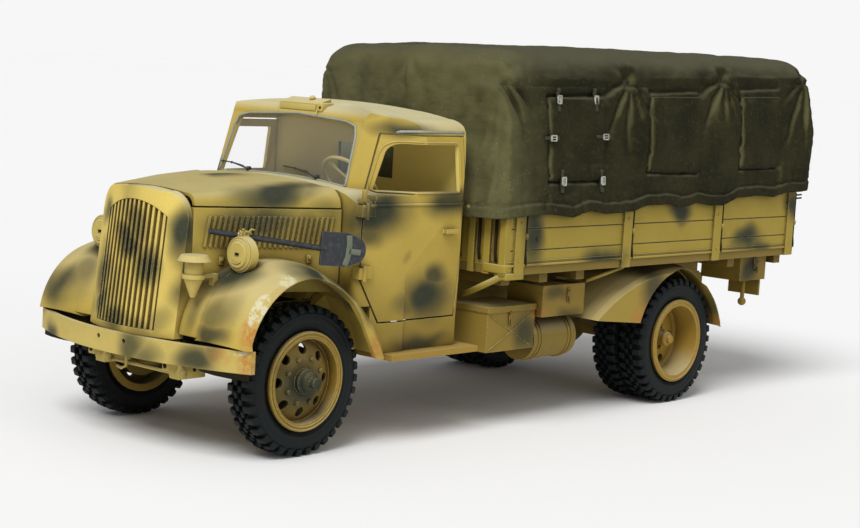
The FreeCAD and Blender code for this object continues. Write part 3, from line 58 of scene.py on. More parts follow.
LEFT_RIGHT = (("left", 1), ("right", -1))
# where lines of sight start: this far out to a side, and this far ahead
FAR_OUT, AHEAD = 60, 160


def at(x, y, z):
    return Vector((AXLE_X + x * MM, y * MM, z * MM))


def span(node):
    """A CAD node's low and high ends along x, y and z, in millimetres from the rear axle."""
    low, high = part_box(node)
    return ((low.x - AXLE_X) / MM, (high.x - AXLE_X) / MM), (low.y / MM, high.y / MM), (low.z / MM, high.z / MM)


def ring_points(radius, count):
    """Points round a circle, with the first one again at the end."""
    for k in range(count + 1):
        angle = 2 * math.pi * k / count
        yield radius * math.cos(angle), radius * math.sin(angle)


# ------------------------------------------------------------------ shaders
class Shader:
    """A node material, with sockets linked or set by what each input is given."""

    def __init__(self, name):
        self.material = bpy.data.materials.new(name)
        self.material.use_nodes = True
        self.tree = self.material.node_tree
        self.tree.nodes.clear()
        self.out = self.tree.nodes.new("ShaderNodeOutputMaterial")
        place = self.add("ShaderNodeTexCoord").outputs["Object"]
        moved = self.vector("SUBTRACT", place, (AXLE_X, 0, 0))
        self.pos = self.vector("SCALE", moved, Scale=1 / MM)

    def add(self, kind, inputs=None, **props):
        node = self.tree.nodes.new(kind)
        for name, value in props.items():
            setattr(node, name, value)
        for name, value in (inputs or {}).items():
            socket = node.inputs[name]
            if isinstance(value, bpy.types.NodeSocket):
                self.tree.links.new(value, socket)
            else:
                socket.default_value = value
        return node

    def vector(self, operation, a, b=None, **named):
        inputs = {0: a}
        if b is not None:
            inputs[1] = b
        inputs.update(named)
        node = self.add("ShaderNodeVectorMath", inputs, operation=operation)
        return node.outputs["Value" if operation in ("LENGTH", "DOT_PRODUCT") else "Vector"]

    def math(self, operation, a, b=0.0, c=0.0, clamp=False):
        return self.add("ShaderNodeMath", {0: a, 1: b, 2: c}, operation=operation,
                        use_clamp=clamp).outputs[0]

    def noise(self, scale, detail=3.0, rough=0.5, place=None, shift=0.0, kind="Fac"):
        vector = self.vector("ADD", place or self.pos, (shift, shift * 0.7, -shift))
        node = self.add("ShaderNodeTexNoise",
                        {"Vector": vector, "Scale": scale, "Detail": detail, "Roughness": rough})
        return node.outputs[kind]

    def step(self, value, start, end, low=0.0, high=1.0):
        node = self.add("ShaderNodeMapRange",
                        {"Value": value, "From Min": start, "From Max": end, "To Min": low,
                         "To Max": high}, interpolation_type="SMOOTHSTEP")
        return node.outputs["Result"]

    def mix(self, factor, a, b, blend="MIX"):
        node = self.add("ShaderNodeMix", data_type="RGBA", blend_type=blend)
        for socket, value in ((0, factor), (6, a), (7, b)):
            if isinstance(value, bpy.types.NodeSocket):
                self.tree.links.new(value, node.inputs[socket])
            else:
                node.inputs[socket].default_value = value
        return node.outputs[2]

    def split(self, place=None):
        return self.add("ShaderNodeSeparateXYZ", {"Vector": place or self.pos}).outputs

    def bump(self, height, strength, distance, normal=None):
        inputs = {"Height": height, "Strength": strength, "Distance": distance}
        if normal is not None:
            inputs["Normal"] = normal
        return self.add("ShaderNodeBump", inputs).outputs["Normal"]

    def hollow(self, distance):
        """How open the place is within a distance: low in corners and gaps."""
        return self.add("ShaderNodeAmbientOcclusion", {"Distance": distance}, samples=6).outputs["AO"]

    def facing(self):
        """The true normal, without bump."""
        return self.add("ShaderNodeNewGeometry").outputs["Normal"]

    def rounded(self, radius):
        """The normal as it would be with rounded edges."""
        return self.add("ShaderNodeBevel", {"Radius": radius}, samples=4).outputs["Normal"]

    def finish(self, colour, rough, normal=None, metallic=0.0, **plain):
        bsdf = self.add("ShaderNodeBsdfPrincipled",
                        {"Base Color": colour, "Roughness": rough, "Metallic": metallic})
        if normal is not None:
            self.tree.links.new(normal, bsdf.inputs["Normal"])
        for name, value in plain.items():
            bsdf.inputs[name.replace("_", " ")].default_value = value
        self.tree.links.new(bsdf.outputs[0], self.out.inputs["Surface"])
        return self.material


def rgba(r, g, b):
    return (r, g, b, 1.0)


SAND = rgba(0.50, 0.365, 0.070)
SAND_PALE = rgba(0.62, 0.54, 0.26)
SAND_DEEP = rgba(0.25, 0.165, 0.028)
DUST_AND_TOP_LIGHT = rgba(0.60, 0.57, 0.38)
GREY_GREEN = rgba(0.028, 0.034, 0.021)
OCHRE = rgba(0.34, 0.22, 0.034)
RUST = rgba(0.42, 0.17, 0.035)
CHIP = rgba(0.62, 0.60, 0.42)


def blotches(sh, places, spots, soft=(1.85, 0.35)):
    """A mask of soft round spots: x, y, z, three radii and strength."""
    mask = None
    for x, y, z, rx, ry, rz, strength in spots:
        away = sh.vector("DIVIDE", sh.vector("SUBTRACT", places, (x, y, z)), (rx, ry, rz))
        one = sh.step(sh.vector("LENGTH", away), soft[0], soft[1], 0.0, strength)
        mask = one if mask is None else sh.math("MAXIMUM", mask, one)
    return mask


# dust sets the paling of upward faces, as dust and painted top light; deep sets the darkening of corners, as dark wash
# and painted shade; inside paints the cab's inner faces paler, as painted light
def paint(name, base=SAND, spots=(), far=0.0, shift=0.0, chips=(), rust=(), deep=0.8, rough=0.66,
          round_edge=0.00022, dust=0.55, inside=False, foot=None):
    """Matt airbrushed paint: base coat, soft dark patches, dark wash in the corners that is also painted shade, dust
    and a painted top light on upward faces, pale edges, and, inside the cab, paler inner faces as painted light.
    """
    sh = Shader(name)
    wobble = sh.vector("SCALE", sh.vector("SUBTRACT", sh.noise(0.085, 1.5, 0.5, shift=shift, kind="Color"),
                                          (0.5, 0.5, 0.5)), Scale=8.0)
    warped = sh.vector("ADD", sh.pos, wobble)
    tone = sh.noise(0.07, 3, 0.55, shift=shift + 40)
    colour = sh.mix(sh.step(tone, 0.3, 0.75), sh.mix(0.22, base, SAND_DEEP), base)
    fine = sh.noise(2.2, 4, 0.65, shift=shift + 9)
    colour = sh.mix(sh.step(fine, 0.2, 0.8, 0.0, 0.14), colour, SAND_DEEP)
    true = sh.facing()
    upward = sh.split(true)[2]
    # upward faces paler: dust, and a painted top light where the light from above falls
    dust_and_painted_top_light = sh.math("MULTIPLY", sh.step(upward, 0.15, 1.0, 0.0, dust), sh.step(tone, 0.2, 0.8, 0.75, 1.1))
    colour = sh.mix(dust_and_painted_top_light, colour, DUST_AND_TOP_LIGHT)
    x, y, z = sh.split()[:3]
    if foot:
        colour = sh.mix(sh.step(z, foot[1], foot[0], 0.0, 0.9), colour, sh.mix(0.65, base, rgba(0.10, 0.06, 0.008)))
    painted_cab_light = None
    # painted light: the cab's inner faces are painted paler, and their painted corner shade weakened, where little
    # light reaches
    if inside:
        inward = sh.vector("NORMALIZE", sh.vector("SUBTRACT", (86.0, 0.0, 44.0), sh.pos))
        painted_cab_light = sh.step(sh.vector("DOT_PRODUCT", true, inward), 0.10, 0.25)
        painted_cab_light = sh.math("MULTIPLY", painted_cab_light, sh.math("MULTIPLY", sh.step(x, 71.9, 72.3), sh.step(x, 99.0, 98.4)))
        painted_cab_light = sh.math("MULTIPLY", painted_cab_light, sh.math("MULTIPLY", sh.step(z, 25.0, 26.0),
                                                 sh.step(sh.math("ABSOLUTE", y), 28.8, 28.4)))
        colour = sh.mix(painted_cab_light, colour, rgba(0.72, 0.57, 0.15))
    mask = blotches(sh, warped, spots) if spots else None
    if far:
        away = sh.step(y, 4.0, -4.0)
        cloud = sh.noise(0.052, 1.5, 0.4, place=warped, shift=shift + 23)
        other = sh.math("MULTIPLY", sh.step(cloud, 0.565, 0.66, 0.0, far), away)
        mask = other if mask is None else sh.math("MAXIMUM", mask, other)
    if mask is not None:
        if painted_cab_light is not None:
            mask = sh.math("MULTIPLY", mask, sh.math("SUBTRACT", 1.0, painted_cab_light))
        grain = sh.math("MULTIPLY", mask, sh.step(sh.noise(5.0, 2, 0.6), 0.15, 0.6, 0.9, 1.0))
        colour = sh.mix(grain, colour, GREY_GREEN)
    sharp = sh.noise(0.9, 5, 0.7, shift=shift + 3)
    if rust:
        stain = sh.math("MULTIPLY", blotches(sh, warped, rust), sh.step(sharp, 0.3, 0.6))
        colour = sh.mix(stain, colour, RUST)
    if chips:
        bare = sh.math("MULTIPLY", blotches(sh, warped, chips, (1.15, 0.9)), sh.step(sharp, 0.42, 0.52))
        colour = sh.mix(bare, colour, CHIP)
    bevel = sh.rounded(round_edge)
    # darker in corners and gaps: partly the model's dark wash, partly painted shade
    hollow = sh.hollow(0.0035)
    dark = sh.step(hollow, 0.92, 0.30, 0.0, deep)
    if painted_cab_light is not None:
        dark = sh.math("MULTIPLY", dark, sh.math("SUBTRACT", 1.0, sh.math("MULTIPLY", painted_cab_light, 0.75)))
    colour = sh.mix(dark, colour, rgba(0.27, 0.22, 0.15), "MULTIPLY")
    edge = sh.math("SUBTRACT", 1.0, sh.vector("DOT_PRODUCT", bevel, true))
    worn = sh.math("MULTIPLY", sh.step(edge, 0.01, 0.14, 0.0, 0.55), sh.step(fine, 0.35, 0.6))
    colour = sh.mix(worn, colour, SAND_PALE)
    normal = sh.bump(fine, 0.12, 0.00008, bevel)
    roughness = sh.step(sh.noise(0.5, 3, 0.6, shift=shift + 60), 0.3, 0.7, rough - 0.08, rough + 0.08)
    return sh.finish(colour, roughness, normal, Specular_IOR_Level=0.2)


def dress(material, *names):
    for name in names:
        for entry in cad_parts[name].material_slots:
            entry.material = material


# ------------------------------------------------------------------ camera, floor and light
# in millimetres and degrees: place, and heading, tilt down and roll
CAMERA_AT, CAMERA_TURN = (351.19, 266.56, 75.40), (-138.492, 6.397, 3.378)


def build_stage():
    camera = bpy.data.objects.new("camera", bpy.data.cameras.new("camera"))
    bpy.context.scene.collection.objects.link(camera)
    azimuth, drop, roll = (math.radians(turn) for turn in CAMERA_TURN)
    ahead = Vector((math.cos(azimuth) * math.cos(drop), math.sin(azimuth) * math.cos(drop),
                    -math.sin(drop)))
    right = ahead.cross(Vector((0, 0, 1))).normalized()
    up = right.cross(ahead)
    across = right * math.cos(roll) + up * math.sin(roll)
    above = up * math.cos(roll) - right * math.sin(roll)
    turn = Matrix((across, above, -ahead)).transposed().to_4x4()
    camera.matrix_world = Matrix.Translation(at(*CAMERA_AT)) @ turn
    camera.data.lens, camera.data.sensor_width = 77.37, 36.0
    camera.data.clip_start, camera.data.clip_end = 0.01, 20
    bpy.context.scene.camera = camera

    mesh = bpy.data.meshes.new("floor")
    reach = 6.0
    mesh.from_pydata([(-reach, -reach, 0), (reach, -reach, 0), (reach, reach, 0), (-reach, reach, 0)],
                     [], [(0, 1, 2, 3)])
    floor = bpy.data.objects.new("floor", mesh)
    bpy.context.scene.collection.objects.link(floor)
    floor.location.z = -0.00002
    sh = Shader("floor_white")
    sh.finish(rgba(0.90, 0.90, 0.90), 0.9, Specular_IOR_Level=0.1)
    mesh.materials.append(sh.material)

    world = bpy.data.worlds.new("studio")
    bpy.context.scene.world = world
    world.use_nodes = True
    tree = world.node_tree
    tree.nodes.clear()
    path = tree.nodes.new("ShaderNodeLightPath")
    # what lights the truck, and what the camera and the clear panes see
    plain, seen = tree.nodes.new("ShaderNodeBackground"), tree.nodes.new("ShaderNodeBackground")
    for back, grey, strength in ((plain, 1.0, 0.34), (seen, 0.93, 1.0)):
        back.inputs["Color"].default_value = (grey, grey, grey, 1.0)
        back.inputs["Strength"].default_value = strength
    most = tree.nodes.new("ShaderNodeMath")
    most.operation = "MAXIMUM"
    mix = tree.nodes.new("ShaderNodeMixShader")
    out = tree.nodes.new("ShaderNodeOutputWorld")
    for source, target in ((path.outputs["Is Camera Ray"], most.inputs[0]),
                           (path.outputs["Is Transmission Ray"], most.inputs[1]),
                           (most.outputs[0], mix.inputs[0]), (plain.outputs[0], mix.inputs[1]),
                           (seen.outputs[0], mix.inputs[2]), (mix.outputs[0], out.inputs["Surface"])):
        tree.links.new(source, target)

    # name, direction towards the light, strength and angle across
    for name, towards, power, spread in (("key", (0.62, 0.27, 0.86), 2.55, 30), ("fill", (0.2, 0.9, 0.5), 0.5, 60)):
        light = bpy.data.lights.new(name, "SUN")
        light.energy, light.angle = power, math.radians(spread)
        lamp = bpy.data.objects.new(name, light)
        bpy.context.scene.collection.objects.link(lamp)
        lamp.location = Vector(towards)
        lamp.rotation_mode = "QUATERNION"
        lamp.rotation_quaternion = (-Vector(towards)).to_track_quat("-Z", "Y")
    bpy.context.scene.view_settings.view_transform = "Standard"


# ------------------------------------------------------------------ mesh helpers
def put(name, verts, faces, material, body, slot=None):
    """A mesh piece from points in millimetres, on a CAD body."""
    mesh = bpy.data.meshes.new(name)
    mesh.from_pydata([tuple(at(*v)) for v in verts], [], faces)
    mesh.materials.append(material)
    mesh.validate()
    mesh.update()
    mesh.shade_smooth()
    piece = bpy.data.objects.new(name, mesh)
    bpy.context.scene.collection.objects.link(piece)
    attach(piece, body)
    return piece


def grid_faces(rows, cols, wrap=False, offset=0):
    faces = []
    for i in range(rows - 1):
        for j in range(cols if wrap else cols - 1):
            k = (j + 1) % cols
            faces.append((offset + i * cols + j, offset + i * cols + k,
                          offset + (i + 1) * cols + k, offset + (i + 1) * cols + j))
    return faces


class Shape:
    """Points and faces collected from several simple forms."""

    def __init__(self):
        self.verts, self.faces = [], []

    def add(self, verts, faces):
        base = len(self.verts)
        self.verts += [tuple(v) for v in verts]
        self.faces += [tuple(base + i for i in f) for f in faces]
        return self

    def box(self, x, y, z, turn=None, bevel=0.0):
        """A box between two corners with its edges cut off by bevel; turn is a 4x4 matrix."""
        centre = Vector(((x[0] + x[1]) / 2, (y[0] + y[1]) / 2, (z[0] + z[1]) / 2))
        size = Vector((abs(x[1] - x[0]), abs(y[1] - y[0]), abs(z[1] - z[0])))
        bm = bmesh.new()
        bmesh.ops.create_cube(bm, size=1.0)
        bmesh.ops.scale(bm, vec=size, verts=bm.verts)
        if bevel:
            bmesh.ops.bevel(bm, geom=bm.edges[:], offset=bevel, segments=2, affect="EDGES", profile=0.5)
        matrix = Matrix.Translation(centre)
        if turn is not None:
            matrix = turn @ matrix
        bmesh.ops.transform(bm, matrix=matrix, verts=bm.verts)
        bm.verts.index_update()
        self.add([v.co.copy() for v in bm.verts], [[v.index for v in f.verts] for f in bm.faces])
        bm.free()
        return self

    def tube(self, points, radius, sides=8, ends=True, flat=1.0):
        """A round tube through points; radius is one number or one for each point."""
        points = [Vector(p) for p in points]
        count = len(points)
        radii = radius if hasattr(radius, "__len__") else [radius] * count
        rings, last = [], None
        for i, p in enumerate(points):
            run = (points[min(i + 1, count - 1)] - points[max(i - 1, 0)]).normalized()
            if last is None:
                side = run.orthogonal().normalized()
            else:
                side = (last - run * last.dot(run)).normalized()
            last = side
            other = run.cross(side)
            for k in range(sides):
                angle = 2 * math.pi * k / sides
                rings.append(p + side * math.cos(angle) * radii[i] + other * math.sin(angle) * radii[i] * flat)
        faces = grid_faces(count, sides, wrap=True)
        if ends:
            faces.append(tuple(reversed(range(sides))))
            faces.append(tuple(range((count - 1) * sides, count * sides)))
        return self.add(rings, faces)

    def lathe(self, profile, centre, axis="Y", steps=48, sign=1):
        """Turns (radius, along) pairs about an axis; a radius of zero closes the form."""
        verts = []
        for radius, along in profile:
            for k in range(steps):
                a = 2 * math.pi * k / steps
                c, t = math.cos(a) * radius, math.sin(a) * radius
                verts.append({"Y": (c, along * sign, t), "X": (along * sign, c, t), "Z": (c, t, along * sign)}[axis])
        verts = [Vector(v) + Vector(centre) for v in verts]
        return self.add(verts, grid_faces(len(profile), steps, wrap=True))

    def put(self, name, material, body, **options):
        piece = put(name, self.verts, self.faces, material, body, **options)
        bm = bmesh.new()
        bm.from_mesh(piece.data)
        bmesh.ops.remove_doubles(bm, verts=bm.verts, dist=1e-7)
        bmesh.ops.dissolve_degenerate(bm, edges=bm.edges, dist=1e-8)
        bmesh.ops.recalc_face_normals(bm, faces=bm.faces)
        bm.to_mesh(piece.data)
        bm.free()
        return piece


def angle_smooth(piece, degrees=35):
    """Smooth faces with sharp edges over an angle."""
    bm = bmesh.new()
    bm.from_mesh(piece.data)
    for edge in bm.edges:
        if len(edge.link_faces) == 2 and edge.calc_face_angle(0) > math.radians(degrees):
            edge.smooth = False
    bm.to_mesh(piece.data)
    bm.free()
    return piece


# ------------------------------------------------------------------ paints of the CAD nodes
def paint_nodes():
    cab = paint("cab_paint", shift=3, far=0.9, dust=0.8, inside=True, foot=(19.0, 38.0), spots=(
        (97, 27.5, 45, 7.0, 6, 4.0, 1.0), (99, 27.5, 41.5, 3.5, 6, 2.6, 0.8), (77.0, 29, 46.6, 5.6, 6, 2.8, 0.95),
        (80.5, 28, 28.6, 5.4, 6, 3.4, 1.0), (78.6, 28, 32.4, 2.6, 6, 2.2, 0.9), (86, 28, 26.6, 4.2, 6, 1.6, 0.6),
        (82.5, 29, 20, 6.4, 6, 1.6, 0.85), (89.4, 26.5, 61.2, 7.4, 6, 1.6, 1.0), (83.0, 27, 60.6, 3.6, 5, 1.0, 0.6),
        (92, 15, 65.4, 3.0, 5, 2.5, 0.35), (89, 28, 36, 0.9, 4, 0.8, 0.3)))
    dress(cab, "cab_shell", "door_left", "door_right")
    # the spot over the louvres, at (119, 17, 43.2), is partly a grey-green patch and partly painted shade of the
    # louvres
    hood = paint("bonnet_paint", base=rgba(0.43, 0.325, 0.068), shift=11, far=0.9, dust=0.3, spots=(
        (113, 15.6, 48, 9.0, 3.4, 3.0, 1.0), (105, 17, 47.4, 5.0, 3, 2.0, 0.7), (119, 17, 43.2, 8.0, 4, 3.4, 0.9),
        (109, 20.5, 41, 4.5, 4, 2.4, 0.5), (104, 21, 44, 2.6, 4, 2.4, 0.45)), deep=1.0)
    dress(hood, "bonnet", "bonnet_side_left", "bonnet_side_right")
    nose = paint("nose_paint", base=rgba(0.72, 0.55, 0.135), shift=17, far=0.4, dust=0.7, spots=(
        (133, 1.6, 41.5, 4, 2.0, 3.0, 0.75), (133, -0.6, 38.0, 4, 3.0, 2.4, 0.95), (133, 3.6, 35.4, 4, 2.6, 2.8, 0.95),
        (133, -8.6, 31.6, 4, 3.2, 3.4, 0.85), (134, -6.5, 27.2, 4, 2.4, 3.0, 0.9), (134, -1.0, 24.2, 4, 3.4, 2.6, 0.9),
        (134, 4.5, 23.4, 4, 3.0, 2.0, 0.6), (132.4, -8.8, 42.6, 4, 1.8, 2.6, 0.8),
        (132.0, 11.3, 40.6, 3.4, 2.6, 4.0, 1.0),
        (132.6, 12.0, 30.4, 3.0, 2.4, 3.2, 1.0), (134, 9.4, 25.6, 3, 1.6, 2.4, 0.5)), deep=1.0)
    dress(nose, "radiator_shell", "grille")
    dress(paint("bumper_paint", base=rgba(0.55, 0.43, 0.12), shift=23, spots=(
        (133, -22.4, 19.2, 4, 3.2, 2.2, 0.9), (137, 5.2, 19.9, 4, 2.6, 2.8, 0.85), (137, 9.0, 18.9, 4, 2.4, 2.0, 0.7),
        (135, 19.4, 19.0, 4, 4.2, 2.2, 0.95), (134, 22.6, 20.4, 4, 2.2, 1.6, 0.7)),
        rust=((130.6, 30, 19.4, 1.6, 1.6, 2.4, 0.95), (133, 25, 20.6, 2.4, 2.4, 1.2, 0.5)),
        chips=((131, 29.6, 21.6, 3, 2, 0.8, 0.7),)), "bumper")
    fenders = paint("fender_paint", shift=29, dust=0.45, spots=(
        (111.5, 27.5, 35.2, 5.6, 5, 1.8, 1.0), (106, 29, 32.8, 4.4, 5, 2.4, 1.0), (101.5, 29, 29.6, 2.6, 6, 3.0, 0.8),
        (125.6, 18.6, 33.2, 4.0, 4.8, 2.4, 1.0),
        (130.2, 21.4, 27.4, 3.0, 3.6, 2.6, 0.65), (131.4, 21.8, 24.2, 3.0, 3.2, 1.8, 0.9),
        (130.4, 14.6, 25.2, 2.4, 1.8, 3.0, 0.6),
        (128.4, -27.0, 37.3, 4, 4, 3.6, 0.2), (129.6, -23.6, 26.4, 4, 5.4, 3.2, 1.0),
        (126, -18.6, 34.4, 4, 4, 2.6, 1.0),
        (130, -18.5, 29.4, 3, 2.4, 3.4, 0.6), (112, -26, 34, 6, 5, 3.0, 0.9), (101, -27, 29, 4, 5, 4, 0.9),
        ), rust=((129.6, 29.8, 24.6, 2.2, 1.6, 2.2, 0.95), (97.6, 30, 20.6, 2.0, 2.6, 3.6, 0.7)),
        chips=((124.3, 28.6, 35, 5.5, 2.6, 1.4, 0.8), (128, 30, 28.5, 3.4, 1.6, 3.4, 0.75),
               (117, 29.6, 33.6, 6.5, 1.6, 1.3, 0.7)))
    dress(fenders, "front_fender_left", "front_fender_right")
    rear = paint("rear_fender_paint", base=rgba(0.36, 0.255, 0.048), shift=31, dust=0.35, spots=(
        (13.5, 33.5, 27.5, 3.0, 4, 5.0, 0.85), (-14.5, 33, 24, 2.6, 4, 3.6, 0.8), (2, 30, 32.6, 5, 5, 1.6, 0.8),
        (-6, 25, 31, 4, 5, 2.5, 0.7), (12, -33, 27, 4, 4, 4.4, 0.85), (-13, -31, 26, 3, 4, 4, 0.8)),
        rust=((17, 34, 19.2, 3.2, 3, 4.6, 0.95), (-15.6, 33, 19, 1.6, 3, 2.4, 0.7)))
    dress(rear, "rear_fender_left", "rear_fender_right")
    bed = paint("bed_paint", base=rgba(0.35, 0.262, 0.040), shift=37, far=0.9, spots=(
        (58.6, 35.5, 40.4, 3.2, 3, 6.0, 1.0), (35.4, 35.5, 34.8, 6.0, 3, 2.4, 0.95),
        (7.2, 35.5, 45.2, 4.6, 3, 2.2, 1.0),
        (-21.6, 35.5, 37.2, 5.4, 3, 2.8, 1.0), (-26, 35.5, 35.2, 4.6, 3, 1.6, 0.8),
        (-40.6, 35.5, 45.2, 3.0, 3, 3.0, 1.0),
        (-42, 10, 40, 4, 9, 5, 0.8), (-42, -22, 38, 4, 7, 4, 0.7)), deep=1.0)
    dress(bed, "bed_side_left", "bed_side_right", "front_board", "tailgate")
    under = paint("under_paint", base=rgba(0.20, 0.14, 0.028), shift=41, far=0.5, deep=1.0, rough=0.7)
    dress(under, "bed_floor", "chassis_frame", "front_axle", "rear_axle", "front_springs", "rear_springs", "driveline",
          "engine", "knuckle_left", "knuckle_right", "tie_rod", "tow_bar", "radiator", "air_tank")
    boxes = paint("box_paint", base=rgba(0.25, 0.17, 0.029), shift=47, far=0.8, dust=0.3, spots=(
        (53.6, 31, 20.4, 3.4, 3, 4.4, 0.9), (42.4, 31, 22.6, 3.8, 3, 1.8, 0.85), (-31, 31, 28.6, 3.0, 3, 3.0, 0.95),
        (46, 31, 27.5, 3, 3, 1.2, 0.7)), rust=((50.5, 31, 24.5, 1.4, 2, 0.8, 0.8),), deep=1.0)
    dress(boxes, "toolbox_left", "toolbox_right", "upper_box", "rear_locker_left", "rear_locker_right")
    dress(paint("step_paint", base=rgba(0.36, 0.22, 0.036), shift=71, deep=1.0, dust=0.15), "running_board_left",
          "running_board_right")
    lamps = paint("lamp_paint", base=rgba(0.58, 0.46, 0.13), shift=53)
    dress(lamps, "headlights", "convoy_lamp", "roof_sign")
    # paler than the body paint, as painted light inside the cab
    dress(paint("inner_paint", base=rgba(0.72, 0.60, 0.24), shift=83, deep=0.5, dust=0.2), "dashboard",
          "steering_wheel")
    rims = paint("rim_paint", base=OCHRE, shift=59, deep=1.0, spots=((112.5, 24, 14.3, 5.4, 20, 5.4, 1.0),
                 (112.5, -24, 14.3, 5.4, 20, 5.4, 1.0)), rust=((0, 29, 14, 12, 6, 12, 0.16),))
    dress(rims, "rim_front_left", "rim_front_right", "rims_rear_left", "rims_rear_right")


def iron():
    sh = Shader("blackened_iron")
    wear = sh.noise(1.1, 5, 0.7)
    colour = sh.mix(sh.step(wear, 0.45, 0.75), rgba(0.013, 0.015, 0.018), rgba(0.05, 0.052, 0.055))
    edge = sh.math("SUBTRACT", 1.0, sh.vector("DOT_PRODUCT", sh.rounded(0.00025), sh.facing()))
    colour = sh.mix(sh.step(edge, 0.02, 0.2, 0.0, 0.6), colour, rgba(0.16, 0.16, 0.16))
    normal = sh.bump(wear, 0.15, 0.0001)
    return sh.finish(colour, sh.step(wear, 0.3, 0.7, 0.38, 0.6), normal)


def rubber():
    sh = Shader("tyre_rubber")
    dust = sh.noise(0.5, 5, 0.65)
    colour = sh.mix(sh.step(dust, 0.35, 0.8, 0.0, 0.8), rgba(0.0035, 0.0055, 0.006), rgba(0.010, 0.0155, 0.0145))
    # painted shade: darker in the tread's grooves and corners
    hollow = sh.hollow(0.0012)
    colour = sh.mix(sh.step(hollow, 0.8, 0.3, 0.0, 0.8), colour, rgba(0.004, 0.005, 0.006))
    normal = sh.bump(sh.noise(3.0, 4, 0.6), 0.2, 0.0001)
    return sh.finish(colour, sh.step(dust, 0.3, 0.8, 0.5, 0.72), normal, Specular_IOR_Level=0.2)


def glass():
    sh = Shader("clear_pane")
    smear = sh.noise(0.25, 3, 0.6)
    sh.finish(sh.mix(smear, rgba(0.52, 0.58, 0.55), rgba(0.66, 0.70, 0.68)), sh.step(smear, 0.3, 0.8, 0.02, 0.08),
              Alpha=0.06, Specular_IOR_Level=0.5)
    return sh.material


def canvas_cloth():
    sh = Shader("olive_canvas")
    tone = sh.noise(0.09, 3, 0.55)
    dry = sh.noise(1.3, 6, 0.72, shift=7)
    colour = sh.mix(sh.step(tone, 0.3, 0.72), rgba(0.0145, 0.014, 0.0054), rgba(0.0275, 0.026, 0.0098))
    true = sh.facing()
    # upward faces paler: dust and a painted top light
    colour = sh.mix(sh.step(sh.split(true)[2], 0.2, 0.95, 0.0, 0.8), colour, rgba(0.092, 0.088, 0.052))
    x = sh.split()[0]
    # painted light: faces turned forward, and the cover's front end, paler where the key light falls
    ahead = sh.math("MAXIMUM", sh.step(sh.split(true)[0], 0.25, 0.9), sh.step(x, 52.0, 66.0, 0.0, 0.55))
    colour = sh.mix(sh.math("MULTIPLY", ahead, sh.step(tone, 0.25, 0.7, 0.55, 0.95)), colour, rgba(0.118, 0.112, 0.047))
    colour = sh.mix(sh.step(dry, 0.52, 0.76, 0.0, 0.45), colour, rgba(0.085, 0.08, 0.038))
    worn = sh.math("MULTIPLY", sh.step(x, 46.0, 64.0, 0.05, 0.75),
                   sh.step(sh.noise(0.22, 2, 0.5, shift=19), 0.42, 0.66))
    speck = sh.math("MULTIPLY", sh.step(sh.noise(1.7, 5, 0.8, shift=31), 0.55, 0.72), worn)
    colour = sh.mix(speck, colour, rgba(0.24, 0.24, 0.15))
    # painted shade: darker in the folds' creases and under the panels' edges
    hollow = sh.hollow(0.0018)
    colour = sh.mix(sh.step(hollow, 0.85, 0.4, 0.0, 0.75), colour, rgba(0.010, 0.010, 0.006))
    warp, weft = (sh.add("ShaderNodeTexWave", {"Vector": sh.pos, "Scale": 1.1, "Distortion": 1.5, "Detail": 2.0},
                         bands_direction=way).outputs["Fac"] for way in ("X", "Z"))
    normal = sh.bump(sh.math("ADD", warp, weft), 0.10, 0.00008)
    normal = sh.bump(sh.noise(2.4, 5, 0.7), 0.5, 0.00026, normal)
    return sh.finish(colour, sh.step(dry, 0.3, 0.7, 0.9, 0.78), normal, Specular_IOR_Level=0.1)


def seat_hide():
    sh = Shader("seat_hide")
    tone = sh.noise(0.4, 4, 0.6)
    colour = sh.mix(sh.step(tone, 0.3, 0.7), rgba(0.20, 0.15, 0.028), rgba(0.28, 0.215, 0.05))
    normal = sh.bump(sh.noise(4.0, 3, 0.6), 0.3, 0.0001)
    return sh.finish(colour, 0.6, normal)


IRON, RUBBER, GLASS, CANVAS, HIDE = iron(), rubber(), glass(), canvas_cloth(), seat_hide()
paint_nodes()
dress(IRON, "shovel")
dress(GLASS, "windscreen")
dress(HIDE, "seat")
dress(RUBBER, "tyre_front_left", "tyre_front_right", "tyres_rear_left", "tyres_rear_right")
dress(CANVAS, "canvas")
build_stage()


# ------------------------------------------------------------------ canvas cover
(BED_BACK, BED_FRONT), (_, BED_HALF), _ = span("bed_floor")
EAVES, CROWN = 70.5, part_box("canvas")[1].z / MM - 0.15
# height, then how far the walls stand outside the bed: side, front, back, side at the rear end
WALLS = ((42.0, 1.3, 3.4, 1.2, 1.4), (48.0, 1.0, 2.6, 3.4, 1.7), (53.0, 0.5, 1.7, 4.9, 2.2),
         (60.0, -0.4, 0.5, 5.9, 2.3),
         (66.0, -1.4, 0.1, 5.2, 1.4), (EAVES, -2.2, -0.3, 4.0, 0.0), (80.0, -3.9, -1.3, 1.3, -3.0))
# the hem: how far behind the bed's front end, and its height
HEM = ((-4.4, 43.9), (-0.5, 44.1), (4.8, 45.0), (12.3, 45.1), (20.0, 44.4), (25.0, 45.2), (36.3, 44.5), (44.0, 46.0),
       (52.6, 46.2), (59.2, 45.6), (65.0, 46.4), (75.5, 45.4), (81.4, 47.3), (97.0, 47.3), (101.7, 48.2), (111.4, 48.7),
       (115.5, 49.8))
# tie-down points of the bows: how far behind the bed's front end, and their height
STARS = ((0.2, 72.4), (40.1, 72.4), (75.8, 73.2), (109.4, 73.6))
SIDE_COLS, END_COLS, WALL_ROWS, EAVE_ROWS, TOP_ROWS = 220, 120, 92, 18, 26
# how high the roof's edge stands over the eaves, the width where its arch ends, and the corners' radius
EAVE_RISE, ROOF_HALF, CORNER_R = 6.85, 31.0, 4.5


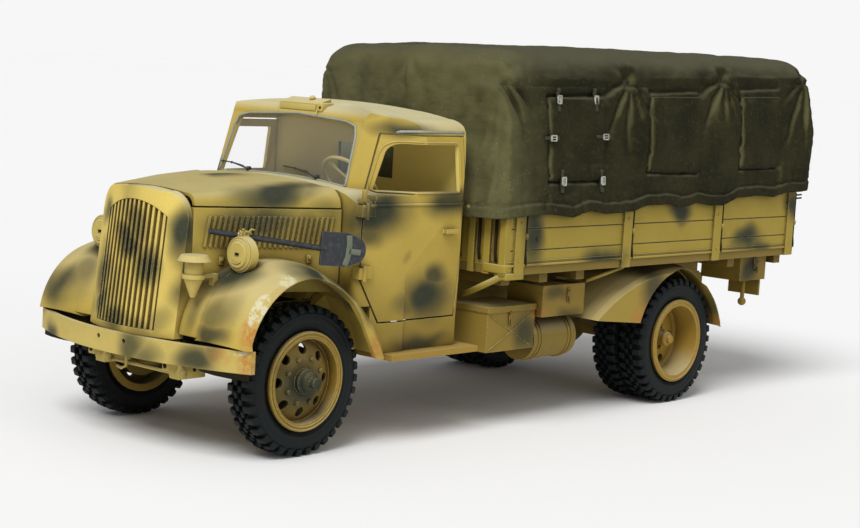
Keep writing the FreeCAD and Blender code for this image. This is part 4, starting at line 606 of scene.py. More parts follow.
def plan_loop(inset, zed, radius):
    """One horizontal loop of the cover as equal counts of points on left, back, right and front."""
    heights = [row[0] for row in WALLS]
    side, front, back = (float(np.interp(zed, heights, [row[k] for row in WALLS])) for k in (1, 2, 3))
    half, ahead, behind = BED_HALF + side - inset, BED_FRONT + front - inset, BED_BACK - back + inset
    wider = float(np.interp(zed, heights, [row[4] for row in WALLS])) - side

    def front_at(y):
        """The front wall steps back on the truck's right, above the cab's height."""
        if y >= 5.0:
            return ahead
        deep = np.interp(-y, (-5.0, -3.4, 28.0, 40.0), (0.0, 0.9, 11.5, 17.0))
        rise = np.interp(zed, (44.0, 47.0, 54.0, 64.0, 70.0), (0.0, 0.4, 5.0, 14.0, 18.0))
        return ahead - min(deep, rise)

    def corner(x, y, sx, sy, share):
        """A point of a corner's arc; share runs from 0 on the side wall to 1 on the end wall."""
        angle = share * math.pi / 2
        return (x - sx * radius + sx * radius * math.sin(angle), y - sy * radius + sy * radius * math.cos(angle))

    right_front = front_at(-half + radius)
    left, rear, right, nose = [], [], [], []
    arc = 14
    flat = SIDE_COLS - 2 * arc
    left += [corner(ahead, half, 1, 1, 0.5 * (1 - k / arc)) for k in range(arc)]
    left += [(ahead - radius + (behind - ahead + 2 * radius) * k / flat, half) for k in range(flat)]
    left += [corner(behind, half, -1, 1, 0.5 * k / arc) for k in range(arc)]
    flat_end = END_COLS - 2 * arc
    rear += [corner(behind, half, -1, 1, 0.5 + 0.5 * k / arc) for k in range(arc)]
    rear += [(behind, (half - radius) * (1 - 2 * k / flat_end)) for k in range(flat_end)]
    rear += [corner(behind, -half, -1, -1, 1 - 0.5 * k / arc) for k in range(arc)]
    right += [corner(behind, -half, -1, -1, 0.5 * (1 - k / arc)) for k in range(arc)]
    right += [(behind + radius + (right_front - behind - 2 * radius) * k / flat, -half) for k in range(flat)]
    right += [corner(right_front, -half, 1, -1, 0.5 * k / arc) for k in range(arc)]
    nose += [corner(right_front, -half, 1, -1, 0.5 + 0.5 * k / arc) for k in range(arc)]
    for k in range(flat_end):
        y = -(half - radius) * (1 - 2 * k / flat_end)
        nose.append((front_at(y), y))
    nose += [corner(ahead, half, 1, 1, 1 - 0.5 * k / arc) for k in range(arc)]
    loop = np.array(left + rear + right + nose)
    toward = np.clip((ahead - 30.0 - loop[:, 0]) / (ahead - 30.0 - behind), 0, 1)
    loop[:, 1] *= 1 + toward ** 1.5 * wider / half
    return loop


# the three panels of each side: corners (x, z) from the upper front one round
FLAPS = ((((54.2, 68.6), (36.0, 68.9), (37.0, 51.7), (55.0, 51.6)), "buckled"),
         (((19.0, 69.6), (0.2, 70.0), (2.2, 53.0), (20.6, 53.3)), "middle"),
         (((-15.4, 70.4), (-31.4, 70.8), (-31.0, 54.0), (-15.2, 53.9)), "rear"))


# the buckled panel sits further back on the right, where the front corner steps back
PANEL_BACK = {1: 0.0, -1: 6.0}


def panels(side):
    back = PANEL_BACK[side]
    return [([(x - back, z) for x, z in FLAPS[0][0]], FLAPS[0][1])] + list(FLAPS[1:])


def fold(points, foot, tip, height, width, grow=0.0, fade=0.35):
    """A soft ridge (or a groove, if height is negative) along a line in a wall's own plane."""
    a, b = np.array(foot), np.array(tip)
    run = b - a
    length = np.linalg.norm(run)
    along = (points - a) @ run / length ** 2
    away = np.abs((points[..., 0] - a[0]) * run[1] - (points[..., 1] - a[1]) * run[0]) / length
    wide = width * (1 + grow * np.clip(along, 0, 1))
    ends = np.clip(along / 0.12, 0, 1) * np.clip((1 - along) / fade, 0, 1)
    ends = ends * ends * (3 - 2 * ends)
    return height * ends * np.exp(-(away / wide) ** 2)


def edge_groove(points, start, end, depth=0.75, width=0.5):
    """How far the cloth sinks along one edge of a panel."""
    a, b = np.array(start), np.array(end)
    run = b - a
    along = np.clip((points - a) @ run / (run @ run), 0, 1)
    away = np.linalg.norm(points - (a + along[..., None] * run), axis=-1)
    return depth * np.exp(-(away / width) ** 2)


def build_cover():
    """The canvas: walls over the bed, rounded eaves and a low roof, with its folds, seams and hem."""
    rng = random.Random(7)
    cols = 2 * (SIDE_COLS + END_COLS)
    base = plan_loop(0.0, 50.0, CORNER_R)
    hem = np.interp(BED_FRONT - base[:, 0], [row[0] for row in HEM], [row[1] for row in HEM])
    rear_side = np.arange(SIDE_COLS, SIDE_COLS + END_COLS)
    hem[rear_side] = hem[rear_side[0]] + 0.35 * np.sin(np.linspace(0, 7 * math.pi, END_COLS))
    ripple = np.array([noise.noise(Vector((x * 0.16, y * 0.16, 3.3))) for x, y in base])
    hem = hem + 0.5 * ripple
    grid = np.zeros((WALL_ROWS + EAVE_ROWS + TOP_ROWS, cols, 3))
    for i in range(WALL_ROWS):
        share = i / (WALL_ROWS - 1)
        loop = plan_loop(0.0, 46.0 + (EAVES - 46.0) * share, CORNER_R)
        grid[i, :, :2] = loop
        grid[i, :, 2] = hem + (EAVES - hem) * share
    # the walls' loops follow the true height of each point
    for i in range(WALL_ROWS):
        table = {}
        for j in range(cols):
            key = round(grid[i, j, 2] * 2) / 2
            if key not in table:
                table[key] = plan_loop(0.0, key, CORNER_R)
            grid[i, j, :2] = table[key][j]
    rim = plan_loop(0.0, EAVES, CORNER_R)
    core = plan_loop(7.4, EAVES, 1.2)
    crest = (CROWN - EAVES - EAVE_RISE) * np.clip(1 - (core[:, 1] / ROOF_HALF) ** 4, 0, 1) + EAVE_RISE
    for i in range(EAVE_ROWS):
        turn = (i + 1) / EAVE_ROWS * math.pi / 2
        inward = 1 - math.cos(turn)
        grid[WALL_ROWS + i, :, :2] = rim + (core - rim) * inward
        grid[WALL_ROWS + i, :, 2] = EAVES + crest * math.sin(turn) ** 0.85
    ridge = np.zeros((cols, 2))
    start, end = BED_FRONT - 9.0, BED_BACK + 5.0
    run = np.linspace(start, end, SIDE_COLS)
    ridge[:SIDE_COLS, 0] = run
    ridge[SIDE_COLS:SIDE_COLS + END_COLS, 0] = end
    ridge[SIDE_COLS + END_COLS:2 * SIDE_COLS + END_COLS, 0] = run[::-1]
    ridge[2 * SIDE_COLS + END_COLS:, 0] = start
    for i in range(TOP_ROWS):
        share = (i + 1) / TOP_ROWS
        row = WALL_ROWS + EAVE_ROWS + i
        grid[row, :, :2] = core + (ridge - core) * share
        arch = np.clip(1 - (grid[row, :, 1] / ROOF_HALF) ** 4, 0, 1)
        grid[row, :, 2] = EAVES + EAVE_RISE + (CROWN - EAVES - EAVE_RISE) * arch
    # rounder folds and corners
    for _ in range(6):
        for k in (0, 1):
            wall = grid[:WALL_ROWS + EAVE_ROWS, :, k]
            wall[:] = 0.5 * wall + 0.25 * (np.roll(wall, 1, axis=1) + np.roll(wall, -1, axis=1))
            wall[1:-1] = 0.5 * wall[1:-1] + 0.25 * (wall[:-2] + wall[2:])
    for _ in range(3):
        zed = grid[WALL_ROWS - 4:, :, 2]
        zed[1:-1] = 0.5 * zed[1:-1] + 0.25 * (zed[:-2] + zed[2:])

    def normals(points):
        across = np.roll(points, -1, axis=1) - np.roll(points, 1, axis=1)
        up = np.gradient(points, axis=0)
        normal = np.cross(up, across)
        return normal / np.maximum(np.linalg.norm(normal, axis=2, keepdims=True), 1e-9)

    out = normals(grid)
    if out[WALL_ROWS // 2, SIDE_COLS // 2, 1] < 0:
        out = -out
    # over the roof the cloth only moves up and down
    for i in range(WALL_ROWS, grid.shape[0]):
        share = min(1.0, (i - WALL_ROWS) / (EAVE_ROWS - 3))
        out[i] = out[i] * (1 - share) + np.array((0, 0, 1)) * share
    out /= np.linalg.norm(out, axis=2, keepdims=True)
    x, y, z = grid[..., 0], grid[..., 1], grid[..., 2]
    rise = np.zeros(x.shape)
    lateral = np.clip((np.abs(y) - 20) / 8, 0, 1)
    side_plane = np.stack((BED_FRONT - x, z), axis=-1)
    under_roof = np.clip((EAVES + 5.5 - z) / 1.5, 0, 1)
    for side in (1, -1):
        mask = np.clip((side * y - 22) / 6, 0, 1)
        for s0, z0 in STARS:
            away = np.hypot(side_plane[..., 0] - s0, side_plane[..., 1] - z0)
            rise += mask * under_roof * (-0.8 * np.exp(-(away / 1.7) ** 2) + 0.4 * np.exp(-((away - 3.2) / 1.5) ** 2))
            for k in range(10):
                angle = math.radians(-63 + 14 * k + rng.uniform(-4, 4))
                length = rng.uniform(12, 25) * (1.0 if abs(angle) < 0.9 else 0.75)
                tip = (s0 + length * math.sin(angle), z0 - length * math.cos(angle))
                height, width = (rng.uniform(0.3, 0.65), 0.85) if k % 2 else (-rng.uniform(0.7, 1.25), 0.42)
                height *= 1.35 if s0 < 1 else 1.0
                rise += mask * fold(side_plane, (s0, z0), tip, height, width, grow=1.1, fade=0.75)
            # the bow behind the cloth
            bow = np.exp(-((side_plane[..., 0] - s0 - 0.5) / 2.6) ** 2) * np.clip((z0 - 3 - z) / 6, 0, 1)
            rise += mask * 0.4 * bow
            for k in range(7):
                angle = math.radians(-60 + 120 * (k + 0.5) / 7 + rng.uniform(-6, 6))
                length = rng.uniform(5, 10)
                tip = (s0 + length * math.sin(angle), z0 + length * math.cos(angle))
                rise += mask * under_roof * fold(side_plane, (s0, z0), tip,
                                                 rng.uniform(0.25, 0.4) * (1 if k % 2 else -1), 0.5,
                                                 grow=1.4)
        # the seam that runs from bow to bow
        seam = np.interp(side_plane[..., 0], [s[0] for s in STARS], [s[1] for s in STARS]) - 0.7
        sag = 0.45 * np.sin(side_plane[..., 0] * 0.25)
        line = z - seam - sag * 0.3
        rise += mask * (0.22 * np.exp(-(line / 0.55) ** 2) - 0.30 * np.exp(-((line + 0.9) / 0.4) ** 2))
        # the cloth sinks beside the panels
        for corners, _ in panels(side):
            line = [(BED_FRONT - px, pz) for px, pz in corners]
            for a, b in ((line[0], line[3]), (line[3], line[2]), (line[0], line[1])):
                rise -= mask * edge_groove(side_plane, a, b)
        # folds that rise from the hem
        for k in range(26):
            s0 = -1 + 112 * (k + rng.uniform(0.2, 0.8)) / 26
            foot = float(np.interp(s0, [row[0] for row in HEM], [row[1] for row in HEM]))
            tip = (s0 + rng.uniform(-5, 5), foot + rng.uniform(5, 15))
            rise += mask * fold(side_plane, (s0, foot - 1.5), tip, rng.uniform(-0.5, 0.55), 0.8, grow=-0.3, fade=0.7)
    end_plane = np.stack((y, z), axis=-1)
    for sign, inner in ((1, BED_FRONT - 18), (-1, BED_BACK + 4)):
        mask = np.clip((sign * (x - inner)) / 3, 0, 1) * np.clip(sign * out[..., 0] * 2 - 0.4, 0, 1) * under_roof
        for s0, z0, many in ((31, 71.5, 9), (-31, 71.5, 7), (4, 76, 5)):
            for k in range(many):
                angle = math.radians(-50 + 100 * (k + 0.5) / many + rng.uniform(-5, 5))
                if s0 > 20:
                    angle = math.radians(-52 + 60 * (k + 0.5) / many)
                length = rng.uniform(10, 24)
                tip = (s0 + length * math.sin(angle), z0 - length * math.cos(angle))
                rise += mask * fold(end_plane, (s0, z0), tip, rng.uniform(0.25, 0.55) * (1 if k % 2 else -1), 0.6,
                                    grow=1.8)
        for k in range(14):
            s0 = -33 + 66 * (k + rng.uniform(0.2, 0.8)) / 14
            tip = (s0 + rng.uniform(-3, 3), 52 + rng.uniform(2, 16))
            rise += mask * fold(end_plane, (s0, 43.5), tip, rng.uniform(-0.5, 0.5), 0.9, fade=0.7)
    # the roof hangs a little between its bows
    roof = np.clip((z - EAVES - 2) / 5, 0, 1)
    along = BED_FRONT - x
    bows = [s[0] for s in STARS]
    for a, b in zip(bows, bows[1:]):
        span = np.clip((along - a) / (b - a), 0, 1)
        rise -= roof * 0.75 * np.sin(span * math.pi) ** 2
    walls = 1 - roof
    for a, b in zip(bows, bows[1:]):
        span = np.clip((along - a) / (b - a), 0, 1)
        rise -= walls * lateral * 0.5 * np.sin(span * math.pi) ** 2 * np.sin(np.clip((z - 45) / 26, 0, 1) * math.pi)
    flat = grid.reshape(-1, 3)
    rough = np.array([noise.fractal(Vector((p[0] * 0.10, p[1] * 0.10, p[2] * 0.13)), 0.9, 2.1, 4) for p in flat])
    creases = np.array([noise.noise(Vector((p[0] * 0.33, p[1] * 0.33, p[2] * 0.12))) for p in flat])
    calm = (1 - 0.6 * np.clip((flat[:, 2] - EAVES) / 5, 0, 1))
    rise += (calm * (0.62 * rough + 0.26 * creases)).reshape(rise.shape)
    # the hem is a doubled band with a stitched line over it
    above = (z - hem[None, :])
    rise += 0.25 * np.clip((2.2 - above) / 0.3, 0, 1) - 0.22 * np.exp(-((above - 2.5) / 0.3) ** 2)
    limit = np.where(z > EAVES + 5, 0.4, 1.5)
    rise = np.where(rise > 0, limit * np.tanh(rise / limit), rise)
    grid = grid + out * rise[..., None]
    # the cover rises a little towards the rear
    lift = 2.0 * np.clip((BED_FRONT - grid[..., 0]) / 95, 0, 1) * np.clip((grid[..., 2] - 56) / 14, 0, 1)
    grid[..., 2] += lift
    lip = grid[0].copy()
    lip_in = lip - out[0] * 0.8
    lip_in[:, 2] += 0.1
    back = lip - out[0] * 0.8
    back[:, 2] += 3.2
    rows = np.concatenate((back[None], lip_in[None], grid), axis=0)
    count = rows.shape[0]
    piece = put("canvas_cover", rows.reshape(-1, 3), grid_faces(count, cols, wrap=True), CANVAS, "truck", slot="canvas")
    bm = bmesh.new()
    bm.from_mesh(piece.data)
    bmesh.ops.remove_doubles(bm, verts=bm.verts, dist=2e-5)
    bmesh.ops.recalc_face_normals(bm, faces=bm.faces)
    bm.to_mesh(piece.data)
    bm.free()
    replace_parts(piece, "canvas")
    return piece


cover = build_cover()


# ------------------------------------------------------------------ what lies on the canvas
skin = BVHTree.FromObject(cover, bpy.context.evaluated_depsgraph_get())


def on_side(x, z, side):
    """The cover's surface at one place of a side wall, and its outward normal, in millimetres."""
    hit, normal, _, _ = skin.ray_cast(at(x, side * FAR_OUT, z), Vector((0, -side, 0)))
    place = Vector(((hit.x - AXLE_X) / MM, hit.y / MM, hit.z / MM))
    if normal.y * side < 0:
        normal = -normal
    return place, normal


def build_flap(name, corners, side, seed):
    """A hanging panel that follows the cover, its edges standing off and its rim turned back."""
    cols, rows = 40, 44

    def crowd(t):
        """Points close to the edges, so that the panel's rim stands up steeply."""
        return 0.5 - 0.5 * math.copysign(abs(1 - 2 * t) ** 0.6, 1 - 2 * t) if 0 < t < 1 else t

    a, b, c, d = [Vector(p) for p in corners]
    verts = []
    for i in range(rows):
        for j in range(cols):
            u, v = crowd(j / (cols - 1)), crowd(i / (rows - 1))
            spot = (a * (1 - u) + b * u) * (1 - v) + (d * (1 - u) + c * u) * v
            edge = min(u, 1 - u, v + 0.06, 1 - v)
            wave = noise.noise(Vector((spot.x * 0.35, spot.y * 0.35, seed)))
            if v > 0.93 or min(u, 1 - u) < 0.04:
                spot = spot + Vector((0.2 * wave, 0.4 * wave))
            place, normal = on_side(spot.x, spot.y, side)
            away = 0.4 + 0.06 * max(0.0, 1 - edge / 0.10) + 0.12 * wave
            away += 0.25 * noise.noise(Vector((spot.x * 0.12 + seed, spot.y * 0.12, 9.1)))
            border = i in (0, rows - 1) or j in (0, cols - 1)
            verts.append(place + normal * (-0.25 if border else max(away, 0.3)))
    piece = put(name, verts, grid_faces(rows, cols), CANVAS, "truck", slot="canvas")
    return piece


for side_name, side in LEFT_RIGHT:
    for k, (corners, label) in enumerate(panels(side)):
        build_flap("flap_%s_%s" % (label, side_name), corners, side, 3.7 * k + 11 * side)


def pale_metal():
    sh = Shader("buckle_metal")
    wear = sh.noise(1.5, 4, 0.7)
    colour = sh.mix(sh.step(wear, 0.4, 0.7), rgba(0.46, 0.47, 0.40), rgba(0.20, 0.20, 0.14))
    return sh.finish(colour, 0.5, sh.bump(wear, 0.2, 0.0001))


def strap_cloth():
    sh = Shader("strap_cloth")
    grain = sh.noise(2.5, 4, 0.7)
    colour = sh.mix(sh.step(grain, 0.35, 0.7), rgba(0.024, 0.024, 0.011), rgba(0.055, 0.053, 0.026))
    return sh.finish(colour, 0.85, sh.bump(grain, 0.4, 0.0002))


BUCKLE, STRAP = pale_metal(), strap_cloth()
# x, z, and whether the strap runs up and down
BUCKLES = ((51.6, 68.2, 1), (39.0, 68.4, 1), (54.6, 60.4, 0), (36.8, 60.8, 0), (51.6, 51.7, 1), (38.4, 51.7, 1))


def surface_turn(place, normal, side):
    out = normal.normalized()
    up = (Vector((0, 0, 1)) - out * out.z).normalized()
    across = up.cross(out)
    return Matrix.Translation(place) @ Matrix((across, out, up)).transposed().to_4x4()


for side_name, side in LEFT_RIGHT:
    rings, straps = Shape(), Shape()
    for x, z, upright in BUCKLES:
        x -= PANEL_BACK[side]
        place = on_side(x, z, side)[0]
        place.y = sum(on_side(x + dx, z + dz, side)[0].y for dx, dz in ((1, 1), (1, -1), (-1, 1), (-1, -1))) / 4
        turn = surface_turn(place + Vector((0, side * 0.75, 0)), Vector((0, side, 0.06)), side)
        wide, tall = (0.66, 0.92) if upright else (0.92, 0.66)
        bar = 0.13
        for a, b, c, d in ((-wide, -wide + 2 * bar, -tall, tall), (wide - 2 * bar, wide, -tall, tall),
                           (-wide, wide, tall - 2 * bar, tall), (-wide, wide, -tall, -tall + 2 * bar)):
            rings.box((a, b), (-0.05, 0.32), (c, d), turn=turn, bevel=0.07)
        rings.box((-0.09, 0.09) if upright else (-wide, wide), (0.05, 0.3), (-tall, tall) if upright else (-0.09, 0.09),
                  turn=turn, bevel=0.04)
        reach, half, steps = 2.3, 0.36, 7
        for k in range(steps):
            low_k, high_k = -reach + 2 * reach * k / steps, -reach + 2 * reach * (k + 1) / steps
            mid = (low_k + high_k) / 2
            spot = (x, z + mid) if upright else (x - mid * side, z)
            seat = on_side(spot[0], spot[1], side)[0]
            lift_k = max(abs(seat.y), abs(place.y) - 0.1) + (0.6 if abs(mid) < 1.2 else 0.4)
            local = surface_turn(Vector((seat.x, side * lift_k, seat.z)), Vector((0, side, 0.06)), side)
            span_k = (reach / steps + 0.08)
            straps.box((-half, half) if upright else (-span_k, span_k), (-0.35, 0.16),
                       (-span_k, span_k) if upright else (-half, half), turn=local, bevel=0.05)
    rings.put("buckles_%s" % side_name, BUCKLE, "truck")
    straps.put("buckle_straps_%s" % side_name, STRAP, "truck")


# ------------------------------------------------------------------ tyres
def build_tyre(name, centre, body):
    """A tyre with moulded rings on its walls and two rows of tread blocks."""
    x, y, z = centre
    form = Shape()
    # radius of the tread's foot
    root = 13.35
    # radius and distance from the middle plane
    half = ((9.35, 2.35), (9.8, 2.75), (10.4, 3.0), (10.5, 3.08), (10.62, 3.08), (10.7, 3.04), (11.3, 3.14),
            (11.9, 3.12),
            (12.4, 3.04), (12.5, 3.1), (12.62, 3.1), (12.7, 3.0), (13.1, 2.82), (root, 2.55), (root, 1.2))
    profile = [(r, -t) for r, t in half] + [(r, t) for r, t in reversed(half)]
    profile = [(9.35, 2.2)] + [(9.35, 2.2 - 4.4 * k / 4) for k in range(1, 4)] + [(9.35, -2.2)] + profile
    form.lathe(profile, centre, steps=96)
    lugs = 36
    for k in range(lugs):
        for side in (1, -1):
            angle = 2 * math.pi * (k + (0.25 if side > 0 else -0.25)) / lugs
            turn = Matrix.Translation(Vector(centre)) @ Matrix.Rotation(-angle, 4, "Y")
            # shoulder block, running down onto the sidewall
            wedge = []
            outer = ((1.15, TYRE_R - 0.05), (2.72, TYRE_R - 0.22), (3.08, 13.55), (3.12, 12.85))
            inner = ((1.15, root - 0.4), (2.2, root - 0.4), (2.55, 13.0), (2.8, 12.75))
            loop = list(outer) + list(reversed(inner))
            for around, trim in ((-0.66, 0.0), (-0.52, 0.1), (0.52, 0.1), (0.66, 0.0)):
                for across, r in loop:
                    grown = r + (trim if r > root else 0.0)
                    wedge.append(turn @ Vector((around, across * side, grown)))
            n = len(loop)
            faces = [tuple(range(n))[::-1], tuple(range(3 * n, 4 * n))]
            for ring in range(3):
                for i in range(n):
                    j = (i + 1) % n
                    faces.append((ring * n + i, ring * n + j, (ring + 1) * n + j, (ring + 1) * n + i))
            form.add(wedge, faces)
            # middle block
            turn = Matrix.Translation(Vector(centre)) @ Matrix.Rotation(-angle - math.pi / lugs, 4, "Y")
            form.box((-0.58, 0.58), sorted((side * 0.12, side * 0.92)), (root - 0.3, TYRE_R - 0.06), turn=turn,
                     bevel=0.1)
    piece = form.put(name, RUBBER, body, slot="tyre")
    angle_smooth(piece, 38)
    return piece


for side_name, side in LEFT_RIGHT:
    node = "tyre_front_%s" % side_name
    low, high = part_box(node)
    centre = ((low.x + high.x) / 2 / MM - AXLE_X / MM, (low.y + high.y) / 2 / MM, (low.z + high.z) / 2 / MM)
    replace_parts(build_tyre("tread_front_%s" % side_name, centre, "wheel_front_%s" % side_name), node)
    node = "tyres_rear_%s" % side_name
    low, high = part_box(node)
    for label, y in (("outer", side * (max(abs(low.y), abs(high.y)) / MM - 3.2)),
                     ("inner", side * (min(abs(low.y), abs(high.y)) / MM + 3.2))):
        piece = build_tyre("tread_rear_%s_%s" % (side_name, label), (0.0, y, TYRE_R), "wheels_rear_%s" % side_name)
        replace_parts(piece, node)


# ------------------------------------------------------------------ finding places on the CAD surfaces
def surface(*names):
    """The skin of some CAD nodes."""
    verts, faces = [], []
    for name in names:
        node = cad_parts[name]
        base = len(verts)
        verts += [node.matrix_world @ v.co for v in node.data.vertices]
        faces += [[base + i for i in face.vertices] for face in node.data.polygons]
    return BVHTree.FromPolygons(verts, faces)


def touch(tree, origin, direction):
    """Where a line of sight meets a skin, in millimetres, and the normal there."""
    direction = Vector(direction).normalized()
    hit, normal, _, _ = tree.ray_cast(at(*origin), direction)
    if hit is None:
        return None
    if normal.dot(direction) > 0:
        normal = -normal
    return Vector(((hit.x - AXLE_X) / MM, hit.y / MM, hit.z / MM)), normal


def along_side(tree, spots, side, lift=0.0):
    """Points on a skin seen from the side, from (x, z) pairs."""
    found = [touch(tree, (x, side * FAR_OUT, z), (0, -side, 0)) for x, z in spots]
    return [place + normal * lift for place, normal in (f for f in found if f)]


def spread_out(spots, count):
    """Evenly spaced points along a broken line."""
    spots = [Vector(s) for s in spots]
    lengths = [0.0]
    for a, b in zip(spots, spots[1:]):
        lengths.append(lengths[-1] + (b - a).length)
    out = []
    for k in range(count):
        goal = lengths[-1] * k / (count - 1)
        i = max(j for j in range(len(spots) - 1) if lengths[j] <= goal + 1e-9)
        share = (goal - lengths[i]) / max(lengths[i + 1] - lengths[i], 1e-9)
        out.append(spots[i].lerp(spots[i + 1], share))
    return out


def band(form, line, half, thick, sink=0.1):
    """A flat band along (place, normal) pairs."""
    rings = []
    count = len(line)
    for i, (place, normal) in enumerate(line):
        run = (line[min(i + 1, count - 1)][0] - line[max(i - 1, 0)][0]).normalized()
        across = normal.cross(run).normalized()
        for a, h in ((-half, -sink), (-half, thick * 0.7), (-half * 0.8, thick), (half * 0.8, thick),
                     (half, thick * 0.7),
                     (half, -sink)):
            rings.append(place + across * a + normal * h)
    faces = grid_faces(count, 6, wrap=True)
    faces += [tuple(reversed(range(6))), tuple(range((count - 1) * 6, count * 6))]
    form.add(rings, faces)
    return form


def ball(form, centre, radius, steps=14):
    """A rounded stud."""
    form.lathe([(radius * math.sin(math.pi * k / 8), radius * math.cos(math.pi * k / 8)) for k in range(9)], centre,
               axis="Z", steps=steps)
    return form


def coat_of(node):
    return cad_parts[node].material_slots[0].material


def two_tone(name, grain, dark, light, rough, bump=None, **plain):
    """A plain material between two colours; grain is its noise's scale, detail and roughness."""
    sh = Shader(name)
    tone = sh.noise(*grain)
    colour = sh.mix(tone, dark, light)
    return sh.finish(colour, rough, sh.bump(tone, *bump) if bump else None, **plain)


def rope_fibre():
    sh = Shader("rope_fibre")
    twist = sh.add("ShaderNodeTexWave", {"Vector": sh.pos, "Scale": 1.6, "Distortion": 2.0, "Detail": 2.0},
                   bands_direction="DIAGONAL").outputs["Fac"]
    return sh.finish(sh.mix(twist, rgba(0.36, 0.27, 0.07), rgba(0.58, 0.47, 0.17)), 0.85, sh.bump(twist, 0.5, 0.0001),
                     Specular_IOR_Level=0.15)


# near-black: the dark rods and hooks, and painted shade in holes, slots and the gap behind the bumper
DARK_PARTS_AND_SHADE = two_tone("dark_parts_and_painted_shade", (0.8, 3, 0.6), rgba(0.012, 0.010, 0.006), rgba(0.035, 0.026, 0.012), 0.85,
               Specular_IOR_Level=0.1)
STRAP_GREEN = two_tone("grey_green_strap", (1.2, 4, 0.65), rgba(0.085, 0.105, 0.075), rgba(0.17, 0.19, 0.13), 0.7,
                       bump=(0.2, 0.0001), Specular_IOR_Level=0.25)
SEAL = two_tone("seal_grey", (0.9, 3, 0.6), rgba(0.20, 0.22, 0.18), rgba(0.36, 0.38, 0.33), 0.45,
                Specular_IOR_Level=0.4)
ROPE = rope_fibre()
CAB, BED, BOXES, LAMPS, RIMS = (coat_of(n) for n in ("cab_shell", "bed_side_left", "toolbox_left", "headlights",
                                                     "rim_front_left"))
SCREEN_FOOT, RAKE = WHEELBASE - 15.9, -0.31
cab_skin = surface("cab_shell")

# ------------------------------------------------------------------ cab trim
for side_name, side in LEFT_RIGHT:
    door_skin = surface("door_%s" % side_name)
    belt = Shape().tube(along_side(door_skin, [(73.1 + 26.5 * k / 16, 46.8) for k in range(17)], side, 0.04), 0.3)
    belt.put("belt_moulding_%s" % side_name, CAB, "door_%s" % side_name)
    opening = [(74.2, 48.95), (92.9, 48.95), (93.5, 49.6), (91.2, 56.4), (90.2, 58.0), (88.4, 58.75), (75.0, 58.75),
               (74.2, 58.0), (74.2, 49.3)]
    ring = along_side(door_skin, [(p.x, p.y) for p in spread_out(opening, 60)], side, 0.02)
    Shape().tube(ring, 0.2, sides=6).put("window_bead_%s" % side_name, CAB, "door_%s" % side_name)
    rail = along_side(cab_skin, [(p.x, p.y) for p in spread_out([(72.6, 60.75), (84.5, 60.8), (87.6, 60.6),
                                                                 (89.6, 59.9),
                                                                (90.7, 58.8)], 26)], side, 0.05)
    Shape().tube(rail, 0.27).put("drip_rail_%s" % side_name, SEAL, "truck")
    form = Shape()
    top = 1.2 if side > 0 else -0.7
    form.lathe([(0.0, top), (0.42, top), (0.5, top - 0.15), (0.5, -1.0), (0.42, -1.15), (0.0, -1.15)],
               (WHEELBASE - 11.75, side * 27.6, 48.7), axis="Z", steps=16)
    form.box((WHEELBASE - 12.1, WHEELBASE - 11.3), sorted((side * 26.4, side * 27.6)), (47.2, 48.3), bevel=0.1)
    ball(form, (WHEELBASE - 11.6, side * 27.75, 46.6), 0.5)
    ball(form, (72.1, side * 28.85, 46.2), 0.42)
    form.put("hinge_post_%s" % side_name, CAB, "truck")

seal = [(-18.2, 49.55), (-9, 50.3), (0, 50.5), (9, 50.3), (18.2, 49.55), (17.35, 59.2), (16.6, 61.1), (14.0, 61.9),
        (0, 62.7), (-14.0, 61.9), (-16.6, 61.1), (-17.35, 59.2), (-18.2, 49.7)]
loop = [Vector((SCREEN_FOOT + RAKE * (p.y - 49.0) + 0.06, p.x, p.y)) for p in spread_out(seal, 90)]
Shape().tube(loop, 0.24, sides=8).put("screen_seal", SEAL, "truck")


def on_glass(y, z, lift=0.0):
    return Vector((SCREEN_FOOT + RAKE * (z - 49.0) - 0.35 + lift, y, z))


wipers = Shape()
for pivot, joint, ends in (((10.1, 50.75), (3.9, 51.9), ((0.2, 52.1), (7.2, 51.6))),
                           ((-9.5, 50.8), (-14.6, 51.6), ((-18.0, 51.7), (-11.4, 51.2)))):
    wipers.tube([on_glass(*pivot, 0.2), on_glass(*pivot, 1.0)], 0.42, sides=12)
    middle = ((pivot[0] + joint[0]) / 2, (pivot[1] + joint[1]) / 2 + 0.12)
    wipers.tube([on_glass(*pivot, 0.9), on_glass(*middle, 1.15), on_glass(*joint, 0.85)], (0.2, 0.17, 0.13), sides=8)
    wipers.tube([on_glass(*ends[0], 0.62), on_glass(*joint, 0.72), on_glass(*ends[1], 0.62)], 0.14, sides=8)
    wipers.tube([on_glass(*ends[0], 0.45), on_glass(*joint, 0.5), on_glass(*ends[1], 0.45)], 0.1, sides=6)
    ball(wipers, on_glass(*joint, 0.85), 0.27)
wipers.put("wipers", IRON, "truck")

sign = Shape()
sx, _, sz = span("roof_sign")
sign.box((sx[0] + 0.4, sx[1] - 0.2), (5.4, 6.7), (sz[0] + 0.6, sz[1] - 0.75), bevel=0.22)
ball(sign, (sx[0] + 1.2, 1.4, sz[1] - 0.1), 0.62)
sign.box((sx[1] - 0.25, sx[1] + 0.02), (-5.1, 5.0), (sz[0] + 0.75, sz[1] - 1.25), bevel=0.06)
sign.put("sign_trim", LAMPS, "truck")
# a dark disc as painted shade in the sign's hole
Shape().lathe([(0.0, 0.05), (0.3, 0.05), (0.34, -0.2)], (sx[1] - 0.25, 6.1, sz[0] + 1.5), axis="X", steps=14).put(
    "sign_hole", DARK_PARTS_AND_SHADE, "truck")

